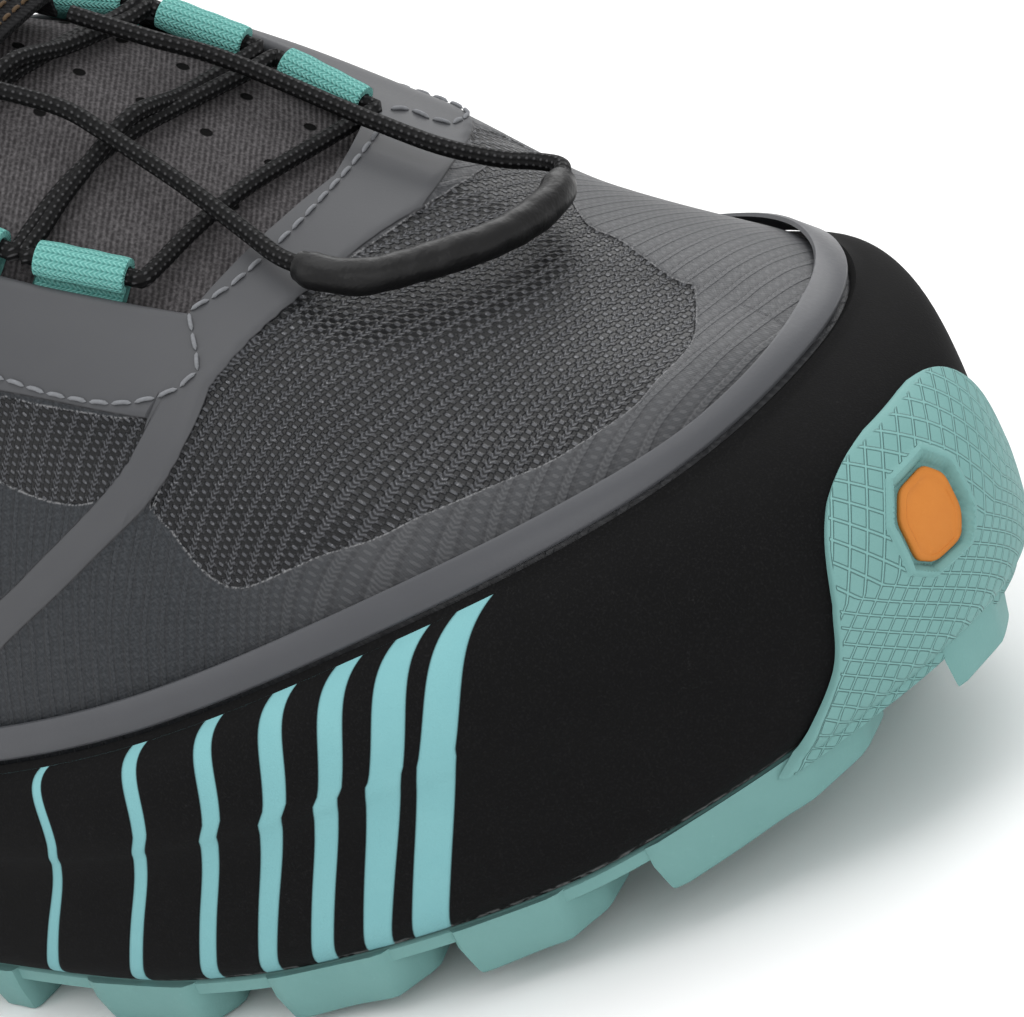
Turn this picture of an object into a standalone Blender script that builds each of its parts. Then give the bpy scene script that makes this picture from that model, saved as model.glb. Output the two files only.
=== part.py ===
"""Trail running shoe, right foot, EU 42, as a maker's assembly of closed solids.

Frame: metres, +X toe, +Y medial side, +Z up, ground at z = 0, origin under the middle of the outsole.

Every soft form is read from one skin, the outside of the last. At each side (-1 lateral, +1 medial)
and each station t (0 at the back of the heel, 1 at the tip of the toe, by length along the rim) the
skin runs from the feather line on the midsole's floor (v = 0) through the rim of the midsole
(v = RIM_V) to the top line (v = 1): the collar at the back, and the ridge of the instep and toe in
front. The collar and the throat are cut out of it at v = edge_v(t).
"""
import math

import bmesh
import bpy
import numpy as np

# Driving sizes.
LENGTH = 0.296          # outsole, heel to toe
BALL_WIDTH = 0.110      # midsole across the ball of the foot
RIM_HEIGHT = 0.0495     # rim of the midsole over the ground, at the toe
COLLAR_HEIGHT = 0.101   # collar over the ground, at the back of the heel
INSTEP_HEIGHT = 0.128   # ridge of the last at the top of the tongue
COLLAR_WIDTH = 0.073    # collar, outside to outside
TOE_SPRING = 0.0175     # ground to the lugs at the tip of the toe
HEEL_STACK = 0.0290     # ground to the floor of the midsole under the heel
TOE_STACK = 0.0300      # ground to the floor of the midsole under the toes
PLATE = 0.0023          # outsole between its lugs
LUG = 0.0047            # depth of the lugs
LUG_LENGTH = 0.0205     # edge lug along the sole, at its root
LUG_WIDTH = 0.0135      # edge lug across the sole, at its root
LUG_PITCH = 0.0245      # edge lug to edge lug
LUG_DRAFT = 0.0013      # how far a lug's sides come in from root to tip
LUG_PROUD = 0.0009      # edge lugs past the plate
INNER_LUG = 0.0115      # inner lugs, across and along
TUCK = 0.0036           # how far the midsole comes in under its widest line
LIP = 0.0016            # midsole at its rim
FEATHER_IN = 0.0090     # widest line of the midsole to the feather line
WALL = 0.0018           # upper, knit and film together
PADDING = 0.0036        # foam added inside the collar
TONGUE = 0.0034         # knitted tongue
TONGUE_UNDER = 0.0080    # tongue past the edge of the throat, on each side
INSOLE = 0.0042         # insole at its middle
FILM = 0.0007           # welded overlays
STRIP_HEIGHT = 0.0046   # film strip above the rim
BAND = 0.0110           # overlay round the throat, along its sides
COUNTER = 0.0010        # heel counter
BUMPER = 0.0016         # toe bumper over the foam
INSET_SIZE = 0.0082     # orange inset of the bumper, across
INSET_HEIGHT = 0.0096
INSET = 0.0008          # inset's own thickness
LACE = 0.0021           # round lace
LOOP_LENGTH = 0.0110    # webbing lace loop, along the lace
LOOP_WALL = 0.0008      # webbing
LOOP_PITCH = 0.0140     # lace loop to lace loop, along the shoe
FIRST_LOOP = 0.0120     # front of the throat to the middle of the first pair of loops
LOOPS = 4               # lace loops a side
SHEATH = 0.0043         # rubber sheath over the end of the lace
KEEPER_LENGTH = 0.026   # lace pocket on the tongue
KEEPER_WIDTH = 0.027
KEEPER = 0.0012
PULL_WIDTH = 0.011      # heel pull loop
PULL_RISE = 0.012       # heel pull loop over the collar
PULL = 0.0018
PULL_TAIL = 0.010       # heel pull loop down the inside of the collar
GAP = 0.0003            # clearance between pieces that touch
INSOLE_ROOM = 0.0013    # insole to the inside of the upper
FILM_GAP = 0.0006       # clearance of the overlays from the upper
TONGUE_GAP = 0.0009     # tongue under the upper
SOFT_GAP = 0.0006       # clearance of the tongue, lace and loops from curved neighbours

# Widest line of the midsole, seen from above: share of LENGTH from the heel, share of half BALL_WIDTH.
OUTLINE = [
    (0.000, 0.00), (0.024, -0.42), (0.100, -0.70), (0.210, -0.76), (0.350, -0.75), (0.490, -0.82),
    (0.610, -0.95), (0.710, -1.00), (0.800, -0.92), (0.885, -0.70), (0.960, -0.36), (0.988, -0.11),
    (0.984, 0.13), (0.942, 0.44), (0.862, 0.735), (0.785, 0.91), (0.690, 0.97), (0.570, 0.82),
    (0.440, 0.63), (0.310, 0.62), (0.190, 0.71), (0.090, 0.69), (0.022, 0.40),
]
# Rim of the midsole on the upper: as above, with its height as a share of RIM_HEIGHT.
RIM = [
    (0.018, 0.00, 1.01), (0.040, -0.36, 0.99), (0.105, -0.585, 0.91), (0.210, -0.64, 0.81),
    (0.350, -0.64, 0.69), (0.490, -0.73, 0.65), (0.610, -0.85, 0.71), (0.710, -0.875, 0.80),
    (0.800, -0.768, 0.90), (0.866, -0.557, 0.95), (0.908, -0.281, 0.975), (0.928, 0.053, 1.00),
    (0.921, 0.354, 1.00), (0.887, 0.60, 1.005), (0.821, 0.80, 0.98), (0.740, 0.86, 0.92),
    (0.660, 0.84, 0.85), (0.560, 0.72, 0.77), (0.440, 0.54, 0.75), (0.310, 0.52, 0.79),
    (0.200, 0.60, 0.87), (0.105, 0.575, 0.95), (0.038, 0.35, 1.00),
]
# Top line of the last: station, share of LENGTH, share of half COLLAR_WIDTH, share of COLLAR_HEIGHT,
# share of INSTEP_HEIGHT, lean of the skin at the top line and at the rim (degrees from upright).
TOP = [
    (0.00, 0.040, 0.000, 1.000, 0.000, 4, 2),
    (0.05, 0.052, 0.384, 0.995, 0.000, 5, 3),
    (0.10, 0.082, 0.671, 0.955, 0.000, 6, 5),
    (0.15, 0.125, 0.836, 0.896, 0.000, 8, 6),
    (0.22, 0.200, 0.959, 0.827, 0.000, 12, 6),
    (0.30, 0.290, 1.000, 0.820, 0.000, 18, 8),
    (0.36, 0.352, 0.900, 0.480, 0.400, 32, 11),
    (0.41, 0.392, 0.440, 0.000, 0.955, 66, 14),
    (0.44, 0.412, 0.000, 0.000, 1.000, 90, 15),
    (0.50, 0.490, 0.000, 0.000, 0.948, 90, 17),
    (0.56, 0.570, 0.000, 0.000, 0.850, 90, 17),
    (0.62, 0.640, 0.000, 0.000, 0.750, 90, 16),
    (0.66, 0.682, 0.000, 0.000, 0.682, 90, 15),
    (0.70, 0.722, 0.000, 0.000, 0.618, 90, 14),
    (0.76, 0.772, 0.000, 0.000, 0.550, 90, 16),
    (0.82, 0.816, 0.000, 0.000, 0.496, 90, 21),
    (0.88, 0.856, 0.000, 0.000, 0.456, 90, 33),
    (0.93, 0.880, 0.000, 0.000, 0.436, 90, 45),
    (1.00, 0.880, 0.000, 0.000, 0.436, 90, 52),
]
# How full the skin is between the rim and the top line: station, lateral, medial side.
FULLNESS = [
    (0.00, 0.52, 0.52), (0.44, 0.52, 0.54), (0.56, 0.54, 0.70), (0.64, 0.54, 0.90), (0.72, 0.54, 0.80),
    (0.80, 0.50, 0.50), (0.88, 0.47, 0.36), (1.00, 0.42, 0.42),
]
# Collar and throat on the skin: station, height on the lateral and on the medial side.
OPENING = [
    (0.30, 1.000, 1.000), (0.34, 0.920, 0.920), (0.38, 0.780, 0.780), (0.41, 0.660, 0.650), (0.44, 0.570, 0.550),
    (0.47, 0.600, 0.540), (0.50, 0.650, 0.580), (0.56, 0.685, 0.660), (0.62, 0.695, 0.740), (0.700, 0.745, 0.800),
]
# Lugs over the ground: share of LENGTH, share of TOE_SPRING.
GROUND = [
    (0.00, 0.54), (0.05, 0.20), (0.11, 0.0), (0.29, 0.0), (0.37, 0.06), (0.45, 0.08), (0.535, 0.0),
    (0.655, 0.0), (0.70, 0.035), (0.79, 0.165), (0.85, 0.26), (0.895, 0.42), (0.96, 0.74), (1.00, 1.0),
]
# Floor of the midsole: share of LENGTH, share of HEEL_STACK, share of TOE_STACK.
FLOOR = [
    (0.00, 1.0, 0.0), (0.30, 0.96, 0.0), (0.50, 0.42, 0.40), (0.66, 0.0, 0.71), (0.80, 0.0, 0.76),
    (0.92, 0.0, 0.89), (1.00, 0.0, 1.0),
]
# Side of the midsole below its widest line: share of the height, share of TUCK on the toe, extra on the sides.
SIDE = [
    (0.00, 1.00, 0.00), (0.07, 0.60, 0.00), (0.18, 0.30, 0.05), (0.45, 0.10, 0.18), (0.72, 0.03, 0.34),
    (0.84, 0.01, 0.27), (0.93, 0.00, 0.06), (1.00, 0.00, 0.00),
]
# Height of the widest line between the foot and the rim of the side: station, share.
WIDEST = [(0.00, 0.60), (0.30, 0.66), (0.50, 0.76), (0.70, 0.72), (0.86, 0.58), (1.00, 0.36)]
# Toe bumper on the foam: share of its height, its left and its right edge in stations from the tip.
BUMPER_EDGE = [
    (0.00, -0.100, 0.095), (0.115, -0.088, 0.080), (0.39, -0.068, 0.058), (0.694, -0.060, 0.043), (0.889, -0.047, 0.024),
    (0.96, -0.034, 0.012), (1.00, -0.018, -0.002),
]
BUMPER_TOP = 0.74
RIM_V = 0.20
RIM_STEPS = 3
RIDGE_FROM = 0.44       # station where the ridge starts
POLE_FROM = 0.93        # stations from here on meet in one point
FRONT = 0.717           # station of the front of the throat
CORNER = 0.700          # station of the throat's front corners
BAND_END = 0.753        # station where the band in front of the throat ends on the ridge
RIDGE_SHIFT = 0.012     # ridge to the medial side, at the toe

STATIONS = sorted(set(
    [round(x, 4) for x in np.linspace(0.0, 0.66, 17)]
    + [0.682, CORNER, 0.709, FRONT, 0.735, BAND_END]
    + [round(x, 4) for x in np.linspace(0.785, 1.0, 9)]))

LOOKS = {
    # name: colour, roughness
    "rubber teal": ((0.155, 0.325, 0.315), 0.62),
    "foam black": ((0.012, 0.012, 0.013), 0.80),
    "inset orange": ((0.560, 0.190, 0.025), 0.55),
    "mesh grey": ((0.032, 0.034, 0.038), 0.75),
    "film grey": ((0.066, 0.068, 0.074), 0.42),
    "knit grey": ((0.070, 0.066, 0.068), 0.85),
    "webbing teal": ((0.150, 0.520, 0.470), 0.60),
    "lace black": ((0.010, 0.010, 0.011), 0.60),
    "sheath black": ((0.018, 0.018, 0.018), 0.50),
    "lining black": ((0.014, 0.014, 0.015), 0.90),
}


def clear_scene():
    for item in list(bpy.data.objects):
        bpy.data.objects.remove(item, do_unlink=True)


def material(name):
    colour, roughness = LOOKS[name]
    made = bpy.data.materials.new(name)
    made.use_nodes = True
    shader = made.node_tree.nodes["Principled BSDF"]
    shader.inputs["Base Color"].default_value = (*colour, 1.0)
    shader.inputs["Roughness"].default_value = roughness
    shader.inputs["Metallic"].default_value = 0.0
    return made


def part(name, points, faces, look):
    """One object from points and faces: points that coincide are joined and collapsed faces go."""
    mesh = bpy.data.meshes.new(name)
    shape = bmesh.new()
    corners = [shape.verts.new(p) for p in points]
    for face in faces:
        ring = [corners[i] for i in face]
        try:
            shape.faces.new(ring)
        except ValueError:
            continue
    bmesh.ops.remove_doubles(shape, verts=shape.verts, dist=2e-6)
    bmesh.ops.dissolve_degenerate(shape, edges=shape.edges, dist=1e-6)
    bmesh.ops.triangulate(shape, faces=[f for f in shape.faces if len(f.verts) > 3])
    bmesh.ops.recalc_face_normals(shape, faces=shape.faces)
    shape.to_mesh(mesh)
    shape.free()
    item = bpy.data.objects.new(name, mesh)
    bpy.context.scene.collection.objects.link(item)
    mesh.materials.append(material(look))
    mesh.shade_smooth()
    mesh.set_sharp_from_angle(angle=math.radians(40))
    return item


def table(rows, at):
    """Rows of (place, values...) read at any place, through every row and without overshoot."""
    rows = np.asarray(rows, float)
    x, y = rows[:, 0], rows[:, 1:]
    h = np.diff(x)[:, None]
    d = np.diff(y, axis=0) / h
    slope = np.zeros_like(y)
    near, far = 2 * h[1:] + h[:-1], h[1:] + 2 * h[:-1]
    rising = d[:-1] * d[1:] > 0
    safe = [np.where(rising, part_d, 1.0) for part_d in (d[:-1], d[1:])]
    slope[1:-1] = np.where(rising, (near + far) / (near / safe[0] + far / safe[1]), 0.0)
    slope[0], slope[-1] = d[0], d[-1]
    at = np.clip(np.asarray(at, float), x[0], x[-1])
    k = np.clip(np.searchsorted(x, at, side="right") - 1, 0, len(x) - 2)
    b = ((at - x[k]) / h[k, 0])[..., None]
    return (y[k] * (1 + 2 * b) * (1 - b) ** 2 + slope[k] * h[k] * b * (1 - b) ** 2
            + y[k + 1] * b ** 2 * (3 - 2 * b) - slope[k + 1] * h[k] * b ** 2 * (1 - b))


def smooth(x):
    x = np.clip(x, 0.0, 1.0)
    return x * x * (3 - 2 * x)


class Ring:
    """A closed curve round the sole, read by side and station."""

    def __init__(self, rows, sizes):
        points = np.array(rows, float) * sizes
        points[:, 0] -= LENGTH / 2
        count = len(points)
        gaps = np.linalg.norm(np.roll(points, -1, axis=0) - points, axis=1)
        before = np.roll(gaps, 1)
        system = np.zeros((count, count))
        right = np.zeros_like(points)
        for i in range(count):
            system[i, i - 1], system[i, i], system[i, (i + 1) % count] = gaps[i], 2 * (gaps[i] + before[i]), before[i]
            ahead, behind = points[(i + 1) % count] - points[i], points[i] - points[i - 1]
            right[i] = 3 * (before[i] * ahead / gaps[i] + gaps[i] * behind / before[i])
        slopes = np.linalg.solve(system, right)
        steps = np.linspace(0, 1, 240, endpoint=False)[:, None]
        run = []
        for i in range(count):
            j, g = (i + 1) % count, gaps[i]
            run.append(points[i] * (1 + 2 * steps) * (1 - steps) ** 2 + slopes[i] * g * steps * (1 - steps) ** 2
                       + points[j] * steps ** 2 * (3 - 2 * steps) - slopes[j] * g * steps ** 2 * (1 - steps))
        run = np.vstack(run)
        run = np.roll(run, -int(np.argmin(run[:, 0])), axis=0)
        toe = int(np.argmax(run[:, 0]))
        self.halves = {}
        for side, half in ((-1, run[:toe + 1]), (1, np.vstack([run[toe:], run[:1]])[::-1])):
            along = np.concatenate([[0], np.cumsum(np.linalg.norm(np.diff(half, axis=0), axis=1))])
            self.halves[side] = (along / along[-1], half)

    def at(self, side, t):
        along, half = self.halves[side]
        return np.stack([np.interp(t, along, half[:, i]) for i in range(half.shape[1])], -1)

    def outward(self, side, t):
        step = 3e-3
        run = (self.at(side, np.clip(t + step, 0, 1)) - self.at(side, np.clip(t - step, 0, 1)))[..., :2]
        run /= np.linalg.norm(run, axis=-1, keepdims=True)
        out = np.stack([run[..., 1], -run[..., 0]], -1) * -side
        t = np.asarray(t)
        out[t <= 0] = (-1, 0)
        out[t >= 1] = (1, 0)
        return out


HALF_BALL = BALL_WIDTH / 2
SOLE = Ring(OUTLINE, (LENGTH, HALF_BALL))
RIMS = Ring(RIM, (LENGTH, HALF_BALL, RIM_HEIGHT))


def share(x):
    return np.asarray(x, float) / LENGTH + 0.5


def ground(x):
    return table(GROUND, share(x))[..., 0] * TOE_SPRING


def foot(x):
    """Lower face of the midsole."""
    return ground(x) + PLATE + LUG


def floor(x):
    """Upper face of the midsole, inside."""
    row = table(FLOOR, share(x))
    return row[..., 0] * HEEL_STACK + row[..., 1] * TOE_STACK


def ridge_y(x):
    return RIDGE_SHIFT * smooth((share(x) - 0.35) / 0.5)


def top_line(t):
    row = table(TOP, t)
    x = (row[..., 0] - 0.5) * LENGTH
    height = row[..., 2] * COLLAR_HEIGHT + row[..., 3] * INSTEP_HEIGHT
    return x, row[..., 1] * COLLAR_WIDTH / 2, height, np.radians(row[..., 4]), np.radians(row[..., 5])


def ridge_slope(t):
    """Rise of the ridge per metre of its run."""
    t = np.clip(t, RIDGE_FROM + 0.004, POLE_FROM - 0.006)
    x0, _, z0, _, _ = top_line(t - 0.004)
    x1, _, z1, _, _ = top_line(t + 0.004)
    return (z1 - z0) / (x1 - x0)


def skin(side, t, v):
    """Outside of the last at a side, station and height."""
    t, v = np.broadcast_arrays(np.asarray(t, float), np.asarray(v, float))
    rim = RIMS.at(side, t)
    out = SOLE.outward(side, t)
    feather = SOLE.at(side, t) - FEATHER_IN * out
    feather = np.concatenate([feather, (floor(feather[..., 0]) + GAP)[..., None]], -1)
    x, half, height, lean_top, lean_rim = top_line(t)
    top = np.stack([x, ridge_y(x) * smooth((t - 0.30) / 0.14) + side * half, height], -1)
    inward = (top - rim)[..., :2]
    inward = inward / np.linalg.norm(inward, axis=-1, keepdims=True)
    across = np.stack([np.zeros_like(t), -side * np.ones_like(t)], -1)
    fan = np.maximum(smooth((t - 0.76) / 0.18), smooth((0.22 - t) / 0.12))[..., None]
    heading = across * (1 - fan) + inward * fan
    heading = heading / np.linalg.norm(heading, axis=-1, keepdims=True)
    climb = np.where(t >= RIDGE_FROM, ridge_slope(t), 0.0) * heading[..., 0]
    at_top = np.stack([heading[..., 0] * np.sin(lean_top), heading[..., 1] * np.sin(lean_top),
                       np.cos(lean_top) + climb * np.sin(lean_top)], -1)
    at_rim = np.stack([inward[..., 0] * np.sin(lean_rim), inward[..., 1] * np.sin(lean_rim), np.cos(lean_rim)], -1)
    chord = top - rim
    rise = np.abs(chord[..., 2])
    run = np.linalg.norm(chord[..., :2], axis=-1)
    full = table(FULLNESS, t)[..., 0 if side < 0 else 1]
    pull_rim = (full * (rise * np.cos(lean_rim) + run * np.sin(lean_rim)))[..., None]
    pull_top = (full * (rise * np.cos(lean_top) + run * np.sin(lean_top)))[..., None]
    b = np.clip((v - RIM_V) / (1 - RIM_V), 0, 1)[..., None]
    over = ((1 - b) ** 3 * rim + 3 * (1 - b) ** 2 * b * (rim + pull_rim * at_rim)
            + 3 * (1 - b) * b ** 2 * (top - pull_top * at_top) + b ** 3 * top)
    a = np.clip(v / RIM_V, 0, 1)[..., None]
    deep = (rim - feather)[..., 2:]
    start = np.concatenate([out * 0.25, np.ones_like(out[..., :1])], -1) * deep
    under = ((2 * a ** 3 - 3 * a ** 2 + 1) * feather + (a ** 3 - 2 * a ** 2 + a) * start
             + (3 * a ** 2 - 2 * a ** 3) * rim + (a ** 3 - a ** 2) * at_rim * deep)
    return np.where((v < RIM_V)[..., None], under, over)


def skin_normal(side, t, v):
    """Outward normal of the skin; on the ridge both sides give the same one."""
    t, v = np.broadcast_arrays(np.asarray(t, float), np.asarray(v, float))
    step_t, step_v = 2e-3, 2e-3
    safe = np.where(t > POLE_FROM - 0.03, np.minimum(v, 0.97), v)
    low_t, high_t = np.clip(t - step_t, 0, 1), np.clip(t + step_t, 0, 1)
    low_v, high_v = np.clip(safe - step_v, 0, 1), np.clip(safe + step_v, 0, 1)
    along = skin(side, high_t, safe) - skin(side, low_t, safe)
    up = skin(side, t, high_v) - skin(side, t, low_v)
    normal = np.cross(along, up) * -side
    normal /= np.linalg.norm(normal, axis=-1, keepdims=True)
    slope = ridge_slope(t)
    ridge = np.stack([-slope, np.zeros_like(slope), np.ones_like(slope)], -1)
    ridge /= np.linalg.norm(ridge, axis=-1, keepdims=True)
    near = np.where(t >= RIDGE_FROM, smooth((v - 0.94) / 0.06), 0.0)[..., None]
    normal = normal * (1 - near) + ridge * near
    ends = np.where((t <= 0) | (t >= 1), 0.0, 1.0)
    normal[..., 1] *= ends
    return normal / np.linalg.norm(normal, axis=-1, keepdims=True)


def off_skin(side, t, v, distance):
    return skin(side, t, v) + skin_normal(side, t, v) * np.asarray(distance)[..., None]


def v_from_rim(side, t, distance):
    """Height that lies a distance up the skin from the rim."""
    vs = np.linspace(RIM_V, 0.6, 81)
    line = skin(side, np.full_like(vs, t), vs)
    along = np.concatenate([[0], np.cumsum(np.linalg.norm(np.diff(line, axis=0), axis=1))])
    return float(np.interp(distance, along, vs))


def opening_v(side, t):
    """Height of the collar and of the throat's sides."""
    t = np.asarray(t, float)
    cut = table(OPENING, np.minimum(t, CORNER))[..., 0 if side < 0 else 1]
    return np.where(t < OPENING[0][0], 1.0, cut)


def edge_v(side, t):
    """Height of the collar and the throat, with the throat's front."""
    cut = opening_v(side, t)
    return cut + (1 - cut) * np.clip((np.asarray(t) - CORNER) / (FRONT - CORNER), 0, 1)


def v_step(side, t, v, distance):
    """Change of height that goes a distance up the skin."""
    rise = skin(side, t, np.asarray(v) + 1e-3) - skin(side, t, np.asarray(v) - 1e-3)
    return distance / (np.linalg.norm(rise, axis=-1) / 2e-3)


def find(x, y):
    """Side, station and height of the skin over a place on the ground, at the instep or the toe."""
    side = 1 if y > float(ridge_y(x)) else -1
    t, v = 0.60, 0.80
    for _ in range(30):
        here = skin(side, t, v)
        along = (skin(side, t + 1e-4, v) - here) / 1e-4
        up = (skin(side, t, v - 1e-4) - here) / -1e-4
        jacobian = np.array([[along[0], up[0]], [along[1], up[1]]])
        move = np.linalg.solve(jacobian, np.array([x, y]) - here[:2])
        t = float(np.clip(t + np.clip(move[0], -0.05, 0.05), 0.445, 0.92))
        v = float(np.clip(v + np.clip(move[1], -0.15, 0.15), RIM_V, 0.9999))
    return side, t, v


def over_skin(x, y, distance):
    side, t, v = find(x, y)
    return off_skin(side, t, v, distance)


def columns(first, last):
    """Stations from first up to last on the lateral side and back down on the medial side."""
    used = [t for t in STATIONS if first - 1e-6 <= t <= last + 1e-6]
    lateral = [(-1, t) for t in used]
    medial = [(1, t) for t in used[::-1]]
    if last >= 1:
        medial = medial[1:]
    if first <= 0:
        medial = medial[:-1]
    return lateral + medial


def heights(bottom, top, rows):
    """Rows up the skin; a sheet that starts under the rim has three steps below it."""
    if bottom >= RIM_V:
        return bottom + (top - bottom) * np.linspace(0, 1, rows)
    return np.concatenate([np.linspace(bottom, RIM_V, RIM_STEPS + 1)[:-1], RIM_V + (top - RIM_V) * np.linspace(0, 1, rows - RIM_STEPS) ** 1.25])


def read(places, low, high, distance, rows):
    """Grid of points: for each place, rows from low to high at a distance off the skin."""
    grid = np.zeros((rows, len(places), 3))
    for j, (side, t) in enumerate(places):
        bottom, top = low(side, t), high(side, t)
        v = heights(bottom, top, rows)
        grid[:, j] = off_skin(side, np.full(rows, t), v, distance(side, t, v))
    return grid


def quads(rows, count, cyclic, start=0, skip=None):
    faces = []
    for i in range(rows - 1):
        for j in range(count if cyclic else count - 1):
            if skip is None or not skip(i, j):
                k = (j + 1) % count
                faces.append([start + i * count + j, start + i * count + k,
                              start + (i + 1) * count + k, start + (i + 1) * count + j])
    return faces


def shell(name, places, low, high, inner, outer, rows, look, cyclic):
    """Closed sheet between two distances off the skin, joined along the ridge in front of the throat."""
    outside = read(places, low, high, outer, rows)
    inside = read(places, low, high, inner, rows)
    grid = np.concatenate([outside, inside[::-1], outside[:1]])
    count = len(places)

    def on_ridge(j):
        side, t = places[j % count]
        return t >= RIDGE_FROM - 1e-6 and high(side, t) >= 1 - 1e-6

    faces = quads(2 * rows + 1, count, cyclic, 0, lambda i, j: i == rows - 1 and on_ridge(j) and on_ridge(j + 1))
    if not cyclic:
        for j in (0, count - 1):
            for i in range(rows - 1):
                far = 2 * rows - 1 - i
                faces.append([i * count + j, (i + 1) * count + j, (far - 1) * count + j, far * count + j])
    return part(name, grid.reshape(-1, 3), faces, look)


def ladder(ring, height, steps):
    """Points across the sole between the two sides of a ring of columns, with a height for each."""
    used = len(STATIONS)
    grid = np.zeros((used, steps + 1, 3))
    for i in range(used):
        left, right = ring[i], ring[(-i) % len(ring)]
        for k in range(steps + 1):
            grid[i, k] = left + (right - left) * k / steps
            if 0 < k < steps and 0 < i < used - 1:
                grid[i, k, 2] = height(grid[i, k, 0], k / steps, i)
    return grid


def ladder_faces(grid, start):
    rows, count, _ = grid.shape
    return quads(rows, count, False, start)


WHOLE = columns(0.0, 1.0)


def foot_ring(lift, inset=0.0):
    points = []
    for side, t in WHOLE:
        place = SOLE.at(side, t) - (TUCK + inset) * SOLE.outward(side, t)
        points.append((*place, float(foot(place[0])) + lift))
    return np.array(points)


def side_wall(side, t, h):
    """Outside of the midsole: h from 0 at its foot to 1 at its rim."""
    h = np.atleast_1d(np.asarray(h, float))
    t = np.full_like(h, t)
    out2 = SOLE.outward(side, t)
    out = np.concatenate([out2, np.zeros_like(h)[:, None]], -1)
    wide = SOLE.at(side, t)
    low = wide - TUCK * out2
    z_low = foot(low[:, 0])
    rim = RIMS.at(side, t)
    rim_out = np.concatenate([RIMS.outward(side, t), np.zeros_like(h)[:, None]], -1)
    lip = rim + (GAP + LIP) * rim_out - np.array([0, 0, 0.15 * LIP])
    middle = table(WIDEST, t)[..., 0]
    z_wide = z_low + (lip[:, 2] - z_low) * middle
    a = np.clip(h / middle, 0, 1)
    row = table(SIDE, a)
    sides = 1 - smooth((t - 0.74) / 0.18)
    tuck = TUCK * (row[..., 0] + row[..., 1] * sides)
    below = np.concatenate([wide - tuck[:, None] * out2, (z_low + (z_wide - z_low) * a)[:, None]], -1)
    b = np.clip((h - middle) / (1 - middle), 0, 1)[:, None]
    start = np.concatenate([wide, z_wide[:, None]], -1)
    rise = (lip - start)[:, 2:]
    reach = np.linalg.norm((lip - start)[:, :2], axis=1, keepdims=True)
    above = ((1 - b) ** 3 * start + 3 * (1 - b) ** 2 * b * (start + np.array([0, 0, 0.62]) * rise)
             + 3 * (1 - b) * b ** 2 * (lip + out * reach * 0.42 - np.array([0, 0, 0.10]) * rise) + b ** 3 * lip)
    return np.where((h <= middle)[:, None], below, above)


WALL_ROWS = [0.0, 0.10, 0.30, 0.52, 0.66, 0.78, 0.90, 1.0]


def make_midsole():
    rows = []
    for h in WALL_ROWS:
        rows.append([side_wall(side, t, h)[0] for side, t in WHOLE])
    rows[0] = foot_ring(0.0)
    for v in np.linspace(RIM_V, 0, RIM_STEPS + 1)[:-1]:
        rows.append([off_skin(side, t, np.float64(v), GAP) for side, t in WHOLE])
    sunk = []
    for side, t in WHOLE:
        place = off_skin(side, t, np.float64(0.0), GAP)
        sunk.append((place[0], place[1], float(floor(place[0]))))
    rows.append(sunk)
    grid = np.array(rows)
    faces = quads(len(rows), len(WHOLE), True)
    points = [grid.reshape(-1, 3)]
    for ring, height in ((grid[0], lambda x, k, i: float(foot(x))), (grid[-1], lambda x, k, i: float(floor(x)))):
        rungs = ladder(ring, height, 1)
        faces += ladder_faces(rungs, sum(len(p) for p in points))
        points.append(rungs.reshape(-1, 3))
    return part("midsole", np.vstack(points), faces, "foam black")


def make_plate():
    top = foot_ring(-GAP)
    bottom = foot_ring(-PLATE, 0.0004)
    grid = np.array([top, bottom])
    faces = quads(2, len(WHOLE), True)
    points = [grid.reshape(-1, 3)]
    for ring, drop in ((top, GAP), (bottom, PLATE)):
        rungs = ladder(ring, lambda x, k, i, drop=drop: float(foot(x)) - drop, 1)
        faces += ladder_faces(rungs, sum(len(p) for p in points))
        points.append(rungs.reshape(-1, 3))
    return part("outsole", np.vstack(points), faces, "rubber teal")


def foot_half(side, x):
    """Distance from the middle line to the edge of the plate at a place along the sole."""
    t = np.linspace(0, 1, 500)
    edge = SOLE.at(side, t) - TUCK * SOLE.outward(side, t)
    return abs(float(np.interp(x, edge[:, 0], edge[:, 1])))


def lug_block(corners):
    """Lug from its root outline: a prism that narrows down to the ground."""
    corners = np.array(corners, float)
    middle = corners.mean(axis=0)
    away = corners - middle
    tip = middle + away * (1 - LUG_DRAFT / np.linalg.norm(away, axis=1, keepdims=True))
    root_z = foot(corners[:, 0]) - GAP - 0.4 * (PLATE - GAP)
    points = [(*c, z) for c, z in zip(corners, root_z)] + [(*c, z) for c, z in zip(tip, ground(tip[:, 0]))]
    count = len(corners)
    faces = [list(range(count)), list(range(count, 2 * count))[::-1]]
    faces += [[i, (i + 1) % count, count + (i + 1) % count, count + i] for i in range(count)]
    return points, faces


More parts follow.
